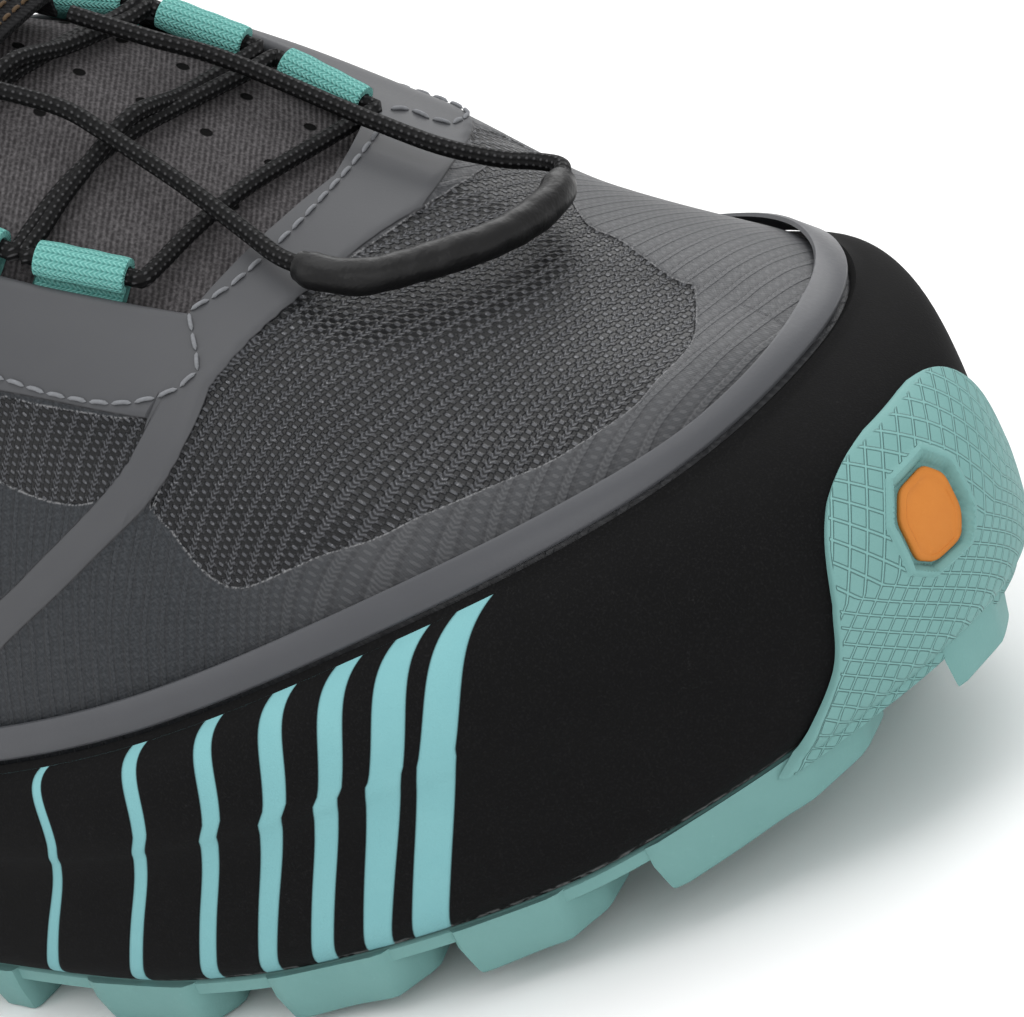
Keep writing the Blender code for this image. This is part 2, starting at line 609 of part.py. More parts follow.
def lug_outlines():
    outlines = []
    rear, front = (0.075 - 0.5) * LENGTH, (0.955 - 0.5) * LENGTH
    count = int((front - rear) / LUG_PITCH)
    start = front - count * LUG_PITCH - 0.0015
    for side in (-1, 1):
        for k in range(count + 1):
            x = start + k * LUG_PITCH
            place = float(share(x))
            if 0.34 < place < 0.44:
                continue
            half_length = LUG_LENGTH / 2
            ends = [foot_half(side, x + e * half_length) for e in (-1, -0.6, 0.6, 1)]
            outer = [e + LUG_PROUD for e in ends]
            root = [(x - half_length, ends[0] - 0.35 * LUG_WIDTH), (x - 0.6 * half_length, outer[1]),
                    (x + 0.6 * half_length, outer[2]), (x + half_length, ends[3] - 0.35 * LUG_WIDTH),
                    (x + 0.7 * half_length, ends[3] - LUG_WIDTH), (x - 0.7 * half_length, ends[0] - LUG_WIDTH)]
            if min(p[1] for p in root) > 0.2 * LUG_WIDTH:
                outlines.append([(px, side * py) for px, py in root])
    x = start + LUG_PITCH / 2
    turn = 0
    while x < front - LUG_PITCH / 2:
        place = float(share(x))
        room = min(foot_half(-1, x), foot_half(1, x)) - LUG_WIDTH - 0.002
        lanes = [-0.5, 0.5] if room > 1.15 * INNER_LUG else [0.0]
        point = 1 if place > 0.4 else -1
        if not 0.31 < place < 0.44 and room > 0.45 * INNER_LUG:
            for lane in lanes:
                y = lane * 1.45 * INNER_LUG
                r = INNER_LUG / 2
                outlines.append([(x - point * 0.7 * r, y - r), (x + point * 0.2 * r, y - r), (x + point * r, y),
                                 (x + point * 0.2 * r, y + r), (x - point * 0.7 * r, y + r), (x - point * 0.1 * r, y)])
        x += LUG_PITCH * 0.72
        turn += 1
    return outlines


def toe_place(q, h, distance):
    """Place on the foam round the toe: q in stations from the tip, - lateral, + medial."""
    side = -1 if q < 0 else 1
    t = 1 - abs(q)
    here = side_wall(side, t, h)[0]
    step = 0.01
    up = side_wall(side, t, h + step)[0] - side_wall(side, t, h - step)[0]
    ahead = toe_flat(q + 0.004, h) - toe_flat(q - 0.004, h)
    normal = np.cross(ahead, up)
    normal /= np.linalg.norm(normal)
    return here + distance * normal


def toe_flat(q, h):
    return side_wall(-1 if q < 0 else 1, 1 - abs(q), h)[0]


def bumper_root(q, level):
    """Foot of the bumper, inside the edge of the outsole's plate or outside it."""
    side, t = (-1 if q < 0 else 1), 1 - abs(q)
    out = SOLE.outward(side, t)
    past, share_down = (-TUCK - 0.6 * PLATE, 0.5) if level == "in" else (0.5 * BUMPER - TUCK, 0.9)
    place = SOLE.at(side, t) + past * out
    edge = SOLE.at(side, t) - TUCK * out
    return np.array([*place, float(foot(edge[0])) - share_down * PLATE])


def bumper_solid(name, inner, outer, look, root):
    rows, steps = len(BUMPER_EDGE), 12
    grid = {}
    for level, distance in (("in", inner), ("out", outer)):
        sheet = []
        if root:
            left, right = table(BUMPER_EDGE, 0.0)
            sheet.append([bumper_root(left + (right - left) * k / steps, level) for k in range(steps + 1)])
        for s, left, right in BUMPER_EDGE:
            h = 0.02 + (BUMPER_TOP - 0.02) * s
            sheet.append([toe_place(left + (right - left) * k / steps, h, distance) for k in range(steps + 1)])
        grid[level] = np.array(sheet)
    rows += root
    wide = steps + 1
    rings = np.concatenate([grid["in"].reshape(-1, 3), grid["out"].reshape(-1, 3)])
    shift = rows * wide
    faces = quads(rows, wide, False) + quads(rows, wide, False, shift)
    for i in range(rows - 1):
        for k in (0, steps):
            a, b = i * wide + k, (i + 1) * wide + k
            faces.append([a, b, b + shift, a + shift])
    for k in range(steps):
        for i in (0, rows - 1):
            a = i * wide + k
            faces.append([a, a + 1, a + 1 + shift, a + shift])
    return part(name, rings, faces, look)


def make_outsole():
    plate = make_plate()
    points, faces = [], []
    for outline in lug_outlines():
        block, block_faces = lug_block(outline)
        faces += [[i + len(points) for i in face] for face in block_faces]
        points += block
    lugs = part("lug_guide", points, faces, "rubber teal")
    bumper = bumper_solid("bumper_guide", GAP, BUMPER, "rubber teal", True)
    for guide in (lugs, bumper):
        join = plate.modifiers.new(guide.name, 'BOOLEAN')
        join.operation, join.solver, join.object, join.use_self = 'UNION', 'EXACT', guide, True
        guide.hide_render = True
        guide.display_type = 'WIRE'
    pocket = inset_patch("pocket_guide", GAP, -GAP, 2 * BUMPER)
    cut = plate.modifiers.new("pocket", 'BOOLEAN')
    cut.operation, cut.solver, cut.object = 'DIFFERENCE', 'EXACT', pocket
    pocket.hide_render = True
    pocket.display_type = 'WIRE'
    return plate


def full_wall(side, t, v):
    """Depth of the upper's wall: padded inside the collar."""
    rear = 1 - smooth((t - 0.32) / 0.10)
    swell = smooth((v - 0.50) / 0.30) * (1 - 0.75 * smooth((v - 0.90) / 0.10))
    return -(WALL + PADDING * rear * swell)


def make_upper():
    edge = {(side, t): float(edge_v(side, t)) for side, t in WHOLE}
    return shell("upper", WHOLE, lambda s, t: 0.0, lambda s, t: edge[(s, t)],
                 full_wall, lambda s, t, v: 0 * v, 10, "mesh grey", True)


def slab(name, top, bottom, look):
    """Closed sheet between two grids of points, walled all round."""
    rows, count, _ = top.shape
    shift = rows * count
    faces = quads(rows, count, False) + quads(rows, count, False, shift)
    border = [i for i in range(count)] + [i * count + count - 1 for i in range(1, rows)]
    border += [(rows - 1) * count + i for i in range(count - 2, -1, -1)] + [i * count for i in range(rows - 2, 0, -1)]
    for a, b in zip(border, border[1:] + border[:1]):
        faces.append([a, b, b + shift, a + shift])
    return part(name, np.concatenate([top.reshape(-1, 3), bottom.reshape(-1, 3)]), faces, look)


def over_ridge(first, last, low, distance, steps, more=()):
    """Grid across the instep: a row for each station, from low on one side over the ridge to low on the other."""
    used = [t for t in sorted(set(STATIONS) | set(more)) if first - 1e-6 <= t <= last + 1e-6]
    grid = np.zeros((len(used), 2 * steps + 1, 3))
    for i, t in enumerate(used):
        for side in (-1, 1):
            v = 1 - (1 - low(side, t)) * np.linspace(1, 0, steps + 1)
            line = off_skin(side, np.full(steps + 1, t), v, distance(side, t, v))
            if side < 0:
                grid[i, :steps + 1] = line
            else:
                grid[i, steps:] = line[::-1]
    return grid


def level(value):
    return lambda side, t, v: value + 0 * v


TONGUE_TOP = -(WALL + TONGUE_GAP)     # outside of the tongue, off the skin


def make_tongue():
    def low(side, t):
        v = float(opening_v(side, t))
        return v - float(v_step(side, t, v, TONGUE_UNDER))

    top = over_ridge(RIDGE_FROM, 0.742, low, level(TONGUE_TOP), 5, (RIDGE_FROM,))
    bottom = over_ridge(RIDGE_FROM, 0.742, low, level(TONGUE_TOP - TONGUE), 5, (RIDGE_FROM,))
    return slab("tongue", top, bottom, "knit grey")


def make_insole():
    steps = 4
    sheets = []
    for lift in (INSOLE, 0.0):
        ring = []
        for side, t in WHOLE:
            vs = np.linspace(0, RIM_V, 21)
            line = skin(side, np.full_like(vs, t), vs)
            v = float(np.interp(line[0, 2] + lift, line[:, 2], vs))
            place = off_skin(side, t, np.float64(v), -(WALL + INSOLE_ROOM))
            ring.append((place[0], place[1], float(floor(place[0])) + GAP + lift))
        ring = np.array(ring)
        cup = 0.30 * INSOLE if lift else 0.0

        def height(x, k, i, lift=lift, cup=cup):
            return float(floor(x)) + GAP + lift - cup * (1 - (2 * k - 1) ** 4)

        rungs = ladder(ring, height, steps)
        sheets.append(rungs)
    for i in range(len(STATIONS)):
        room = np.linspace(0, 1, steps + 1)[:, None]
        low_line = sheets[1][i, 0] * (1 - room) + sheets[1][i, -1] * room
        sheets[1][i, :, :2] = low_line[:, :2]
    return slab("insole", sheets[0], sheets[1], "lining black")


def make_eyestay():
    def low(side, t):
        v = float(opening_v(side, t))
        v -= float(v_step(side, t, v, BAND))
        return v + (1 - v) * float(smooth((t - CORNER) / (BAND_END - CORNER))) if t > CORNER else v

    edge = {(side, t): float(edge_v(side, t)) for side, t in WHOLE}
    places = [(s, t) for s, t in columns(0.45, BAND_END)]
    return shell("eyestay", places, low, lambda s, t: edge[(s, t)], level(FILM_GAP), level(FILM_GAP + FILM), 5,
                 "film grey", False)


def make_strip():
    bottom = {(s, t): v_from_rim(s, t, 2 * GAP) for s, t in WHOLE}
    top = {(s, t): v_from_rim(s, t, STRIP_HEIGHT) for s, t in WHOLE}
    return shell("rim_strip", WHOLE, lambda s, t: bottom[(s, t)], lambda s, t: top[(s, t)],
                 level(FILM_GAP + GAP), level(FILM_GAP + GAP + FILM), 2, "film grey", True)


def make_counter():
    reach = 0.17
    shape = [(0.0, 0.70), (0.06, 0.68), (0.12, 0.56), (reach, 0.38)]
    used = [t for t in STATIONS if t <= reach]
    places = [(-1, t) for t in used[::-1]] + [(1, t) for t in used[1:]]
    sheets = []
    for distance in (FILM_GAP + COUNTER, FILM_GAP):
        grid = np.zeros((5, len(places), 3))
        for j, (side, t) in enumerate(places):
            low = v_from_rim(side, t, STRIP_HEIGHT + 2 * GAP)
            high = float(table(shape, t)[0])
            v = np.linspace(low, high, 5)
            grid[:, j] = off_skin(side, np.full(5, t), v, np.full(5, distance))
        sheets.append(grid)
    return slab("heel_counter", sheets[0], sheets[1], "film grey")


def make_pull_loop():
    up = [off_skin(1, 0.0, np.float64(v), GAP + PULL / 2)[[0, 2]] for v in (0.76, 0.84, 0.92, 1.0)]
    turn = 0.35 * PULL_RISE
    crest = up[-1] + np.array([turn, PULL_RISE - turn])
    bow = [crest + turn * np.array([-math.cos(a), math.sin(a)]) for a in np.linspace(0, math.pi, 7)]
    foot_x = bow[-1][0]
    end = np.array([foot_x, COLLAR_HEIGHT - PULL_TAIL])
    line = np.array(up + bow + [end])
    run = np.gradient(line, axis=0)
    run /= np.linalg.norm(run, axis=1, keepdims=True)
    across = np.stack([-run[:, 1], run[:, 0]], -1) * PULL / 2
    outer, inner = line + across, line - across
    sheets = []
    for edge in (outer, inner):
        sheets.append(np.array([[(x, y, z) for x, z in edge] for y in (-PULL_WIDTH / 2, PULL_WIDTH / 2)]))
    return slab("heel_pull_loop", sheets[0], sheets[1], "webbing teal")


def inset_patch(name, grow, inner, outer):
    """Plain hexagon on the bumper: a patch of the toe's own surface between two distances off the foam."""
    place_q, place_h = -0.019, 0.46
    along = np.linalg.norm(toe_flat(place_q + 0.005, place_h) - toe_flat(place_q - 0.005, place_h)) / 0.01
    up = np.linalg.norm(toe_flat(place_q, place_h + 0.02) - toe_flat(place_q, place_h - 0.02)) / 0.04
    sheets = []
    for distance in (outer, inner):
        sheet = []
        for row in (-1.0, -0.45, 0.45, 1.0):
            half = INSET_SIZE / 2 * (0.5 if abs(row) == 1 else 1.0) + grow
            h = place_h + row * (INSET_HEIGHT / 2 + grow) / up
            sheet.append([toe_place(place_q + share_q * half / along, h, distance) for share_q in (-1, 0, 1)])
        sheets.append(np.array(sheet))
    return slab(name, sheets[0], sheets[1], "inset orange")


LOOP_R = LACE / 2 + SOFT_GAP + LOOP_WALL


def loop_axis(side, index):
    """Two ends of a webbing loop's tunnel, beside the edge of the throat."""
    ts = np.linspace(0.46, CORNER, 241)
    vs = opening_v(side, ts)
    vs = vs + np.array([float(v_step(side, t, v, LOOP_R + SOFT_GAP)) for t, v in zip(ts, vs)])
    line = off_skin(side, ts, vs, np.full_like(ts, TONGUE_TOP + SOFT_GAP + LOOP_R))
    front = float(skin(side, CORNER, float(opening_v(side, CORNER)))[0])
    middle = front - FIRST_LOOP - index * LOOP_PITCH
    k = int(np.argmin(abs(line[:, 0] - middle)))
    run = line[min(k + 12, 240)] - line[k - 12]
    run /= np.linalg.norm(run)
    return line[k] + run * LOOP_LENGTH / 2, line[k] - run * LOOP_LENGTH / 2


def tube_grid(points, radius, sides):
    points = np.array(points, float)
    run = np.gradient(points, axis=0)
    run /= np.linalg.norm(run, axis=1, keepdims=True)
    up = np.array([0.0, 0.0, 1.0])
    rings = []
    for place, ahead in zip(points, run):
        across = np.cross(ahead, up)
        across /= np.linalg.norm(across)
        lift = np.cross(across, ahead)
        turns = [2 * math.pi * k / sides for k in range(sides)]
        rings.append([place + radius * (math.cos(a) * across + math.sin(a) * lift) for a in turns])
    return np.array(rings)


def make_lace_loop(side, index):
    front, rear = loop_axis(side, index)
    outer, inner = tube_grid([front, rear], LOOP_R, 10), tube_grid([front, rear], LOOP_R - LOOP_WALL, 10)
    grid = np.concatenate([outer, inner[::-1], outer[:1]])
    name = "lace_loop_%s_%d" % ("lateral" if side < 0 else "medial", index + 1)
    return part(name, grid.reshape(-1, 3), quads(len(grid), 10, True), "webbing teal")


def bar_line(start, end):
    """Route of a taut length of lace over the tongue."""
    line = []
    for c in np.linspace(0, 1, 8):
        x, y = (start + (end - start) * c)[:2]
        sag = TONGUE_TOP + SOFT_GAP + LACE / 2 + (LOOP_R - LACE / 2) * (2 * c - 1) ** 4
        line.append(over_skin(x, y, sag))
    line[0], line[-1] = start, end
    return line


def make_bar(name, start, end, look):
    grid = tube_grid(bar_line(start, end), LACE / 2, 6)
    faces = quads(len(grid), 6, True) + [list(range(6)), list(range(len(grid) * 6 - 6, len(grid) * 6))]
    return part(name, grid.reshape(-1, 3), faces, look)


def make_laces():
    clear = LACE / 2 + SOFT_GAP
    mouths = {}
    for side in (-1, 1):
        for k in range(LOOPS):
            front, rear = loop_axis(side, k)
            run = (front - rear) / LOOP_LENGTH
            mouths[(side, k)] = (front + run * clear, rear - run * clear)
    make_bar("lace_bar", mouths[(-1, 0)][0], mouths[(1, 0)][0], "lace black")
    for k in range(LOOPS - 1):
        cross = make_bar("lace_cross_%d" % (k + 1), mouths[(-1, k)][1], mouths[(1, k + 1)][0], "lace black")
        other = make_bar("cross_guide_%d" % (k + 1), mouths[(1, k)][1], mouths[(-1, k + 1)][0], "lace black")
        join = cross.modifiers.new("crossing", 'BOOLEAN')
        join.operation, join.solver, join.object = 'UNION', 'EXACT', other
        other.hide_render = True
        other.display_type = 'WIRE'


# Route of the lace's free end, forward over the throat to the sheath: metres, chosen by hand.
TAIL_LATERAL = [
    (0.0376, -0.0028, 0.1004), (0.0452, -0.0013, 0.0959), (0.0498, -0.0016, 0.0925), (0.0547, -0.0026, 0.0890),
    (0.0607, -0.0039, 0.0846), (0.0673, -0.0060, 0.0800), (0.0722, -0.0079, 0.0770), (0.0752, -0.0086, 0.0757),
]
TAIL_MEDIAL = [
    (0.0385, 0.0143, 0.1006), (0.0472, 0.0156, 0.0954), (0.0529, 0.0176, 0.0914), (0.0589, 0.0187, 0.0870),
    (0.0668, 0.0191, 0.0816), (0.0714, 0.0190, 0.0789), (0.0784, 0.0194, 0.0747), (0.0843, 0.0211, 0.0713),
    (0.0883, 0.0226, 0.0696), (0.0912, 0.0224, 0.0688), (0.0925, 0.0203, 0.0685),
]
SHEATH_ROUTE = [
    (0.0757, -0.0088, 0.0756), (0.0786, -0.0092, 0.0746), (0.0829, -0.0076, 0.0727), (0.0872, -0.0022, 0.0709),
    (0.0913, 0.0044, 0.0692), (0.0932, 0.0102, 0.0683), (0.0937, 0.0156, 0.0681), (0.0928, 0.0195, 0.0683),
]


def curve_through(route, count):
    """Points at even lengths along a smooth curve through a route."""
    route = np.array(route)
    padded = np.vstack([2 * route[0] - route[1], route, 2 * route[-1] - route[-2]])
    line = []
    for a, b, c, d in zip(padded, padded[1:], padded[2:], padded[3:]):
        for w in np.linspace(0, 1, 24, endpoint=False):
            line.append(0.5 * (2 * b + (c - a) * w + (2 * a - 5 * b + 4 * c - d) * w ** 2
                               + (3 * b - a - 3 * c + d) * w ** 3))
    line = np.array(line + [route[-1]])
    along = np.concatenate([[0], np.cumsum(np.linalg.norm(np.diff(line, axis=0), axis=1))])
    want = np.linspace(0, along[-1], count)
    return np.stack([np.interp(want, along, line[:, i]) for i in range(3)], -1)


def cord(name, route, thickness, count, look):
    shape = bpy.data.curves.new(name, 'CURVE')
    shape.dimensions = '3D'
    shape.bevel_depth = thickness / 2
    shape.bevel_resolution = 2
    shape.use_fill_caps = True
    line = curve_through(route, count)
    run = shape.splines.new('POLY')
    run.points.add(count - 1)
    for point, place in zip(run.points, line):
        point.co = (*place, 1.0)
    item = bpy.data.objects.new(name, shape)
    bpy.context.scene.collection.objects.link(item)
    shape.materials.append(material(look))
    return item


def make_tail():
    cord("lace_tail_lateral", TAIL_LATERAL, LACE, 10, "lace black")
    cord("lace_tail_medial", TAIL_MEDIAL, LACE, 13, "lace black")
    cord("lace_sheath", SHEATH_ROUTE, SHEATH, 11, "sheath black")


def make_keeper():
    """Cloth pocket on the tongue that the lace's ends come out of."""
    front = 0.598
    back = front - KEEPER_LENGTH / (LENGTH * 1.12)
    used = back + (front - back) * np.array([0.0, 0.12, 0.34, 0.67, 1.0])
    rise = [0.0, 0.0, 1.0, 1.0, 1.0]
    sheets = []
    for level_off in (KEEPER, 0.0):
        grid = np.zeros((len(used), 7, 3))
        for i, t in enumerate(used):
            lift = TONGUE_TOP + GAP + level_off + rise[i] * (LACE + 3 * SOFT_GAP)
            for side in (-1, 1):
                half = float(v_step(side, t, 0.9, KEEPER_WIDTH * (0.62 if side < 0 else 0.38)))
                v = 1 - half * np.linspace(1, 0, 4)
                line = off_skin(side, np.full(4, t), v, np.full(4, lift))
                if side < 0:
                    grid[i, :4] = line
                else:
                    grid[i, 3:] = line[::-1]
        sheets.append(grid)
    return slab("lace_keeper", sheets[0], sheets[1], "lining black")


def main():
    clear_scene()
    inset_patch("toe_inset", 0.0, GAP, GAP + INSET)
    make_midsole()
    make_outsole()
    make_insole()
    make_upper()
    make_tongue()
    make_eyestay()
    make_strip()
    make_counter()
    make_pull_loop()
    for side in (-1, 1):
        for index in range(LOOPS):
            make_lace_loop(side, index)
    make_laces()
    make_tail()
    make_keeper()


main()
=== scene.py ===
"""Looks of a trail running shoe, right foot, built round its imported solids.

Frame: metres, +X toe, +Y medial side, +Z up, ground at z = 0. Every soft piece is read from one skin, the
outside of the last. A place on it is a side (-1 lateral, +1 medial), a station t from the heel (0) to the
tip of the toe (1), and a height v from the feather line (0) through the rim of the foam (RIM_V) to the top
line (1), which is the collar at the back and the ridge of the instep in front.
"""
import math

import bmesh
import bpy
import numpy as np
from mathutils import Matrix, Vector


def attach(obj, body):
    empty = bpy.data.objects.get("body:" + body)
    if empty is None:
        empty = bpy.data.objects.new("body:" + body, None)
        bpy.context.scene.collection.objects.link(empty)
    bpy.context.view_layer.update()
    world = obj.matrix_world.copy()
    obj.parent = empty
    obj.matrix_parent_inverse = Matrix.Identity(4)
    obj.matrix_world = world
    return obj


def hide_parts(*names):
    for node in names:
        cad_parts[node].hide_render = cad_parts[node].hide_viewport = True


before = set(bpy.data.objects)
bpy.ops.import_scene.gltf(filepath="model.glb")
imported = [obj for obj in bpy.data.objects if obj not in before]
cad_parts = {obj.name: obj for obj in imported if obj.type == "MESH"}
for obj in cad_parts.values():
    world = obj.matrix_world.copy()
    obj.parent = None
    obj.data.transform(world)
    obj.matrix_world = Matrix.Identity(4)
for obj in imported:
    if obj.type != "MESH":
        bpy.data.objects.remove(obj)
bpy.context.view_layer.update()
MM = 0.001

# Sizes of the shoe, as in its solids.
LENGTH = 0.296
BALL_WIDTH = 0.110
RIM_HEIGHT = 0.0495
COLLAR_HEIGHT = 0.101
INSTEP_HEIGHT = 0.128
COLLAR_WIDTH = 0.073
TOE_SPRING = 0.0175
HEEL_STACK = 0.0290
TOE_STACK = 0.0300
PLATE = 0.0023
LUG = 0.0047
LUG_LENGTH = 0.0205
LUG_WIDTH = 0.0135
LUG_PITCH = 0.0245
LUG_DRAFT = 0.0013
LUG_PROUD = 0.0009
INNER_LUG = 0.0115
TUCK = 0.0036
LIP = 0.0016
FEATHER_IN = 0.0090
WALL = 0.0018
PADDING = 0.0036
TONGUE = 0.0034
TONGUE_UNDER = 0.0080
INSOLE = 0.0042
STRIP_HEIGHT = 0.0046
BUMPER = 0.0016
INSET_SIZE = 0.0082
INSET_HEIGHT = 0.0096
INSET = 0.0008
LACE = 0.0021
LOOP_LENGTH = 0.0110
LOOP_WALL = 0.0008
LOOP_PITCH = 0.0140
FIRST_LOOP = 0.0120
FIRST_LOOP_MEDIAL = 0.0035
LOOPS = 4
LOOP_FLAT = np.array([0.86, 0.80])
SHEATH = 0.0043
KEEPER_LENGTH = 0.026
KEEPER_WIDTH = 0.027
KEEPER = 0.0012
PULL_WIDTH = 0.011
PULL_RISE = 0.012
PULL = 0.0018
PULL_TAIL = 0.010
GAP = 0.0003
TONGUE_GAP = 0.0009
SOFT_GAP = 0.0006
INSOLE_ROOM = 0.0013
RIM_V = 0.20
RIDGE_FROM = 0.44
POLE_FROM = 0.93
FRONT = 0.7135
CORNER = 0.700
RIDGE_SHIFT = 0.012
TONGUE_TOP = -(WALL + TONGUE_GAP)
LOOP_R = LACE / 2 + SOFT_GAP + LOOP_WALL
TONGUE_FRONT = 0.742
KEEPER_FRONT = 0.598
COLLAR_END = 0.405
FILM_GAP = 0.0006
FILM = 0.0007
COUNTER = 0.0010
INSET_Q, INSET_H = -0.019, 0.46
TURN = 2 * math.pi
SHARP_ANGLE = math.radians(50)
ROUND_SIDES = 14

# Widest line of the foam from above: share of LENGTH from the heel, share of half BALL_WIDTH.
OUTLINE = [
    (0.000, 0.00), (0.024, -0.42), (0.100, -0.70), (0.210, -0.76), (0.350, -0.75), (0.490, -0.82),
    (0.610, -0.95), (0.710, -1.00), (0.800, -0.92), (0.885, -0.70), (0.960, -0.36), (0.988, -0.11),
    (0.984, 0.13), (0.942, 0.44), (0.862, 0.735), (0.785, 0.91), (0.690, 0.97), (0.570, 0.82),
    (0.440, 0.63), (0.310, 0.62), (0.190, 0.71), (0.090, 0.69), (0.022, 0.40),
]
# Rim of the foam: as above, with its height as a share of RIM_HEIGHT.
RIM = [
    (0.018, 0.00, 1.01), (0.040, -0.36, 0.99), (0.105, -0.585, 0.91), (0.210, -0.64, 0.81),
    (0.350, -0.64, 0.69), (0.490, -0.73, 0.65), (0.610, -0.85, 0.71), (0.710, -0.875, 0.80),
    (0.800, -0.768, 0.90), (0.866, -0.557, 0.95), (0.908, -0.281, 0.975), (0.928, 0.053, 1.00),
    (0.921, 0.354, 1.00), (0.887, 0.60, 0.985), (0.821, 0.80, 0.91), (0.740, 0.86, 0.86),
    (0.660, 0.84, 0.85), (0.560, 0.72, 0.77), (0.440, 0.54, 0.75), (0.310, 0.52, 0.79),
    (0.200, 0.60, 0.87), (0.105, 0.575, 0.95), (0.038, 0.35, 1.00),
]
# Top line: station, shares of LENGTH, half COLLAR_WIDTH, COLLAR_HEIGHT and INSTEP_HEIGHT, leans in degrees
# at the top line and at the rim.
TOP = [
    (0.00, 0.040, 0.000, 1.000, 0.000, 4, 2), (0.05, 0.052, 0.384, 0.995, 0.000, 5, 3),
    (0.10, 0.082, 0.671, 0.955, 0.000, 6, 5), (0.15, 0.125, 0.836, 0.896, 0.000, 8, 6),
    (0.22, 0.200, 0.959, 0.827, 0.000, 12, 6), (0.30, 0.290, 1.000, 0.820, 0.000, 18, 8),
    (0.36, 0.352, 0.900, 0.480, 0.400, 32, 11), (0.41, 0.392, 0.440, 0.000, 0.955, 66, 14),
    (0.44, 0.412, 0.000, 0.000, 1.000, 90, 15), (0.50, 0.490, 0.000, 0.000, 0.948, 90, 17),
    (0.56, 0.570, 0.000, 0.000, 0.850, 90, 17), (0.62, 0.640, 0.000, 0.000, 0.750, 90, 16),
    (0.66, 0.682, 0.000, 0.000, 0.682, 90, 15), (0.70, 0.722, 0.000, 0.000, 0.618, 90, 14),
    (0.76, 0.772, 0.000, 0.000, 0.550, 90, 16), (0.82, 0.816, 0.000, 0.000, 0.496, 90, 21),
    (0.88, 0.856, 0.000, 0.000, 0.456, 90, 33), (0.93, 0.880, 0.000, 0.000, 0.436, 90, 45),
    (1.00, 0.880, 0.000, 0.000, 0.436, 90, 52),
]
# Fullness of the skin over the rim: station, lateral, medial.
FULLNESS = [
    (0.00, 0.52, 0.52), (0.44, 0.52, 0.54), (0.56, 0.54, 0.70), (0.64, 0.54, 0.90), (0.72, 0.54, 0.80),
    (0.80, 0.50, 0.50), (0.88, 0.47, 0.36), (1.00, 0.42, 0.42),
]
# Height of the opening's edge: station, lateral, medial.
OPENING = [
    (0.30, 1.000, 1.000), (0.34, 0.920, 0.920), (0.38, 0.780, 0.780), (0.41, 0.660, 0.650),
    (0.44, 0.570, 0.550), (0.47, 0.600, 0.540), (0.50, 0.650, 0.580), (0.56, 0.685, 0.660),
    (0.62, 0.695, 0.740), (0.700, 0.745, 0.800),
]
# Rise of the sole off the ground: share of LENGTH, share of TOE_SPRING.
GROUND = [
    (0.00, 0.54), (0.05, 0.20), (0.11, 0.0), (0.29, 0.0), (0.37, 0.06), (0.45, 0.08), (0.535, 0.0),
    (0.655, 0.0), (0.70, 0.035), (0.79, 0.165), (0.85, 0.26), (0.895, 0.42), (0.96, 0.74), (1.00, 1.0),
]
# Floor inside the foam: share of LENGTH, shares of HEEL_STACK and TOE_STACK.
FLOOR = [
    (0.00, 1.0, 0.0), (0.30, 0.96, 0.0), (0.50, 0.42, 0.40), (0.66, 0.0, 0.71), (0.80, 0.0, 0.76),
    (0.92, 0.0, 0.89), (1.00, 0.0, 1.0),
]
# Foam's side from its foot to its widest line: height, share of TUCK, more of it behind the toe.
SIDE = [
    (0.00, 1.00, 0.00), (0.07, 0.60, 0.00), (0.18, 0.30, 0.05), (0.45, 0.10, 0.18), (0.72, 0.03, 0.34),
    (0.84, 0.01, 0.27), (0.93, 0.00, 0.06), (1.00, 0.00, 0.00),
]
# Height of the widest line: station, share of the side's height.
WIDEST = [(0.00, 0.60), (0.30, 0.66), (0.50, 0.76), (0.70, 0.72), (0.86, 0.58), (1.00, 0.36)]
# Sides of the bumper: share of its height, stations from the tip, lateral and medial.
BUMPER_EDGE = [
    (0.00, -0.100, 0.095), (0.115, -0.088, 0.080), (0.39, -0.068, 0.058), (0.694, -0.060, 0.043),
    (0.889, -0.047, 0.024), (0.96, -0.034, 0.012), (1.00, -0.018, -0.002),
]
BUMPER_TOP = 0.74

# Outlines of the upper's films and windows: side, station, height on the skin.
TOE_WINDOW = [
    (-1, .7388, .838), (-1, .7265, .730), (-1, .720, .654), (-1, .720, .567), (-1, .7138, .496),
    (-1, .710, .475), (-1, .7212, .442), (-1, .7363, .383), (-1, .7475, .354), (-1, .7588, .350),
    (-1, .785, .371), (-1, .8063, .375), (-1, .8237, .392), (-1, .8538, .408), (-1, .8762, .421),
    (-1, .9012, .492), (-1, .9100, .585), (-1, .9240, .780), (1, .9080, 1.0), (1, .8925, .975),
    (1, .8475, .879), (1, .8225, .862), (1, .7888, .733), (1, .7625, .629), (1, .7463, .692),
    (1, .7412, .787), (1, .7612, .825), (1, .7540, 1.0),
]
SIDE_WINDOW = [
    (-1, .655, .565), (-1, .670, .572), (-1, .6875, .580), (-1, .7010, .588), (-1, .7010, .545),
    (-1, .6887, .479), (-1, .668, .462), (-1, .640, .470), (-1, .610, .480), (-1, .612, .530),
    (-1, .640, .560),
]
CAGE_BAND = [
    (-1, .720, .654), (-1, .720, .567), (-1, .7125, .492), (-1, .6987, .438), (-1, .6713, .362),
    (-1, .6375, .300), (-1, .600, .240), (-1, .580, .200), (-1, .560, .200), (-1, .600, .285),
    (-1, .640, .346), (-1, .660, .388), (-1, .6763, .433), (-1, .6887, .479), (-1, .6975, .529),
    (-1, .7025, .590), (-1, .7060, .640),
]
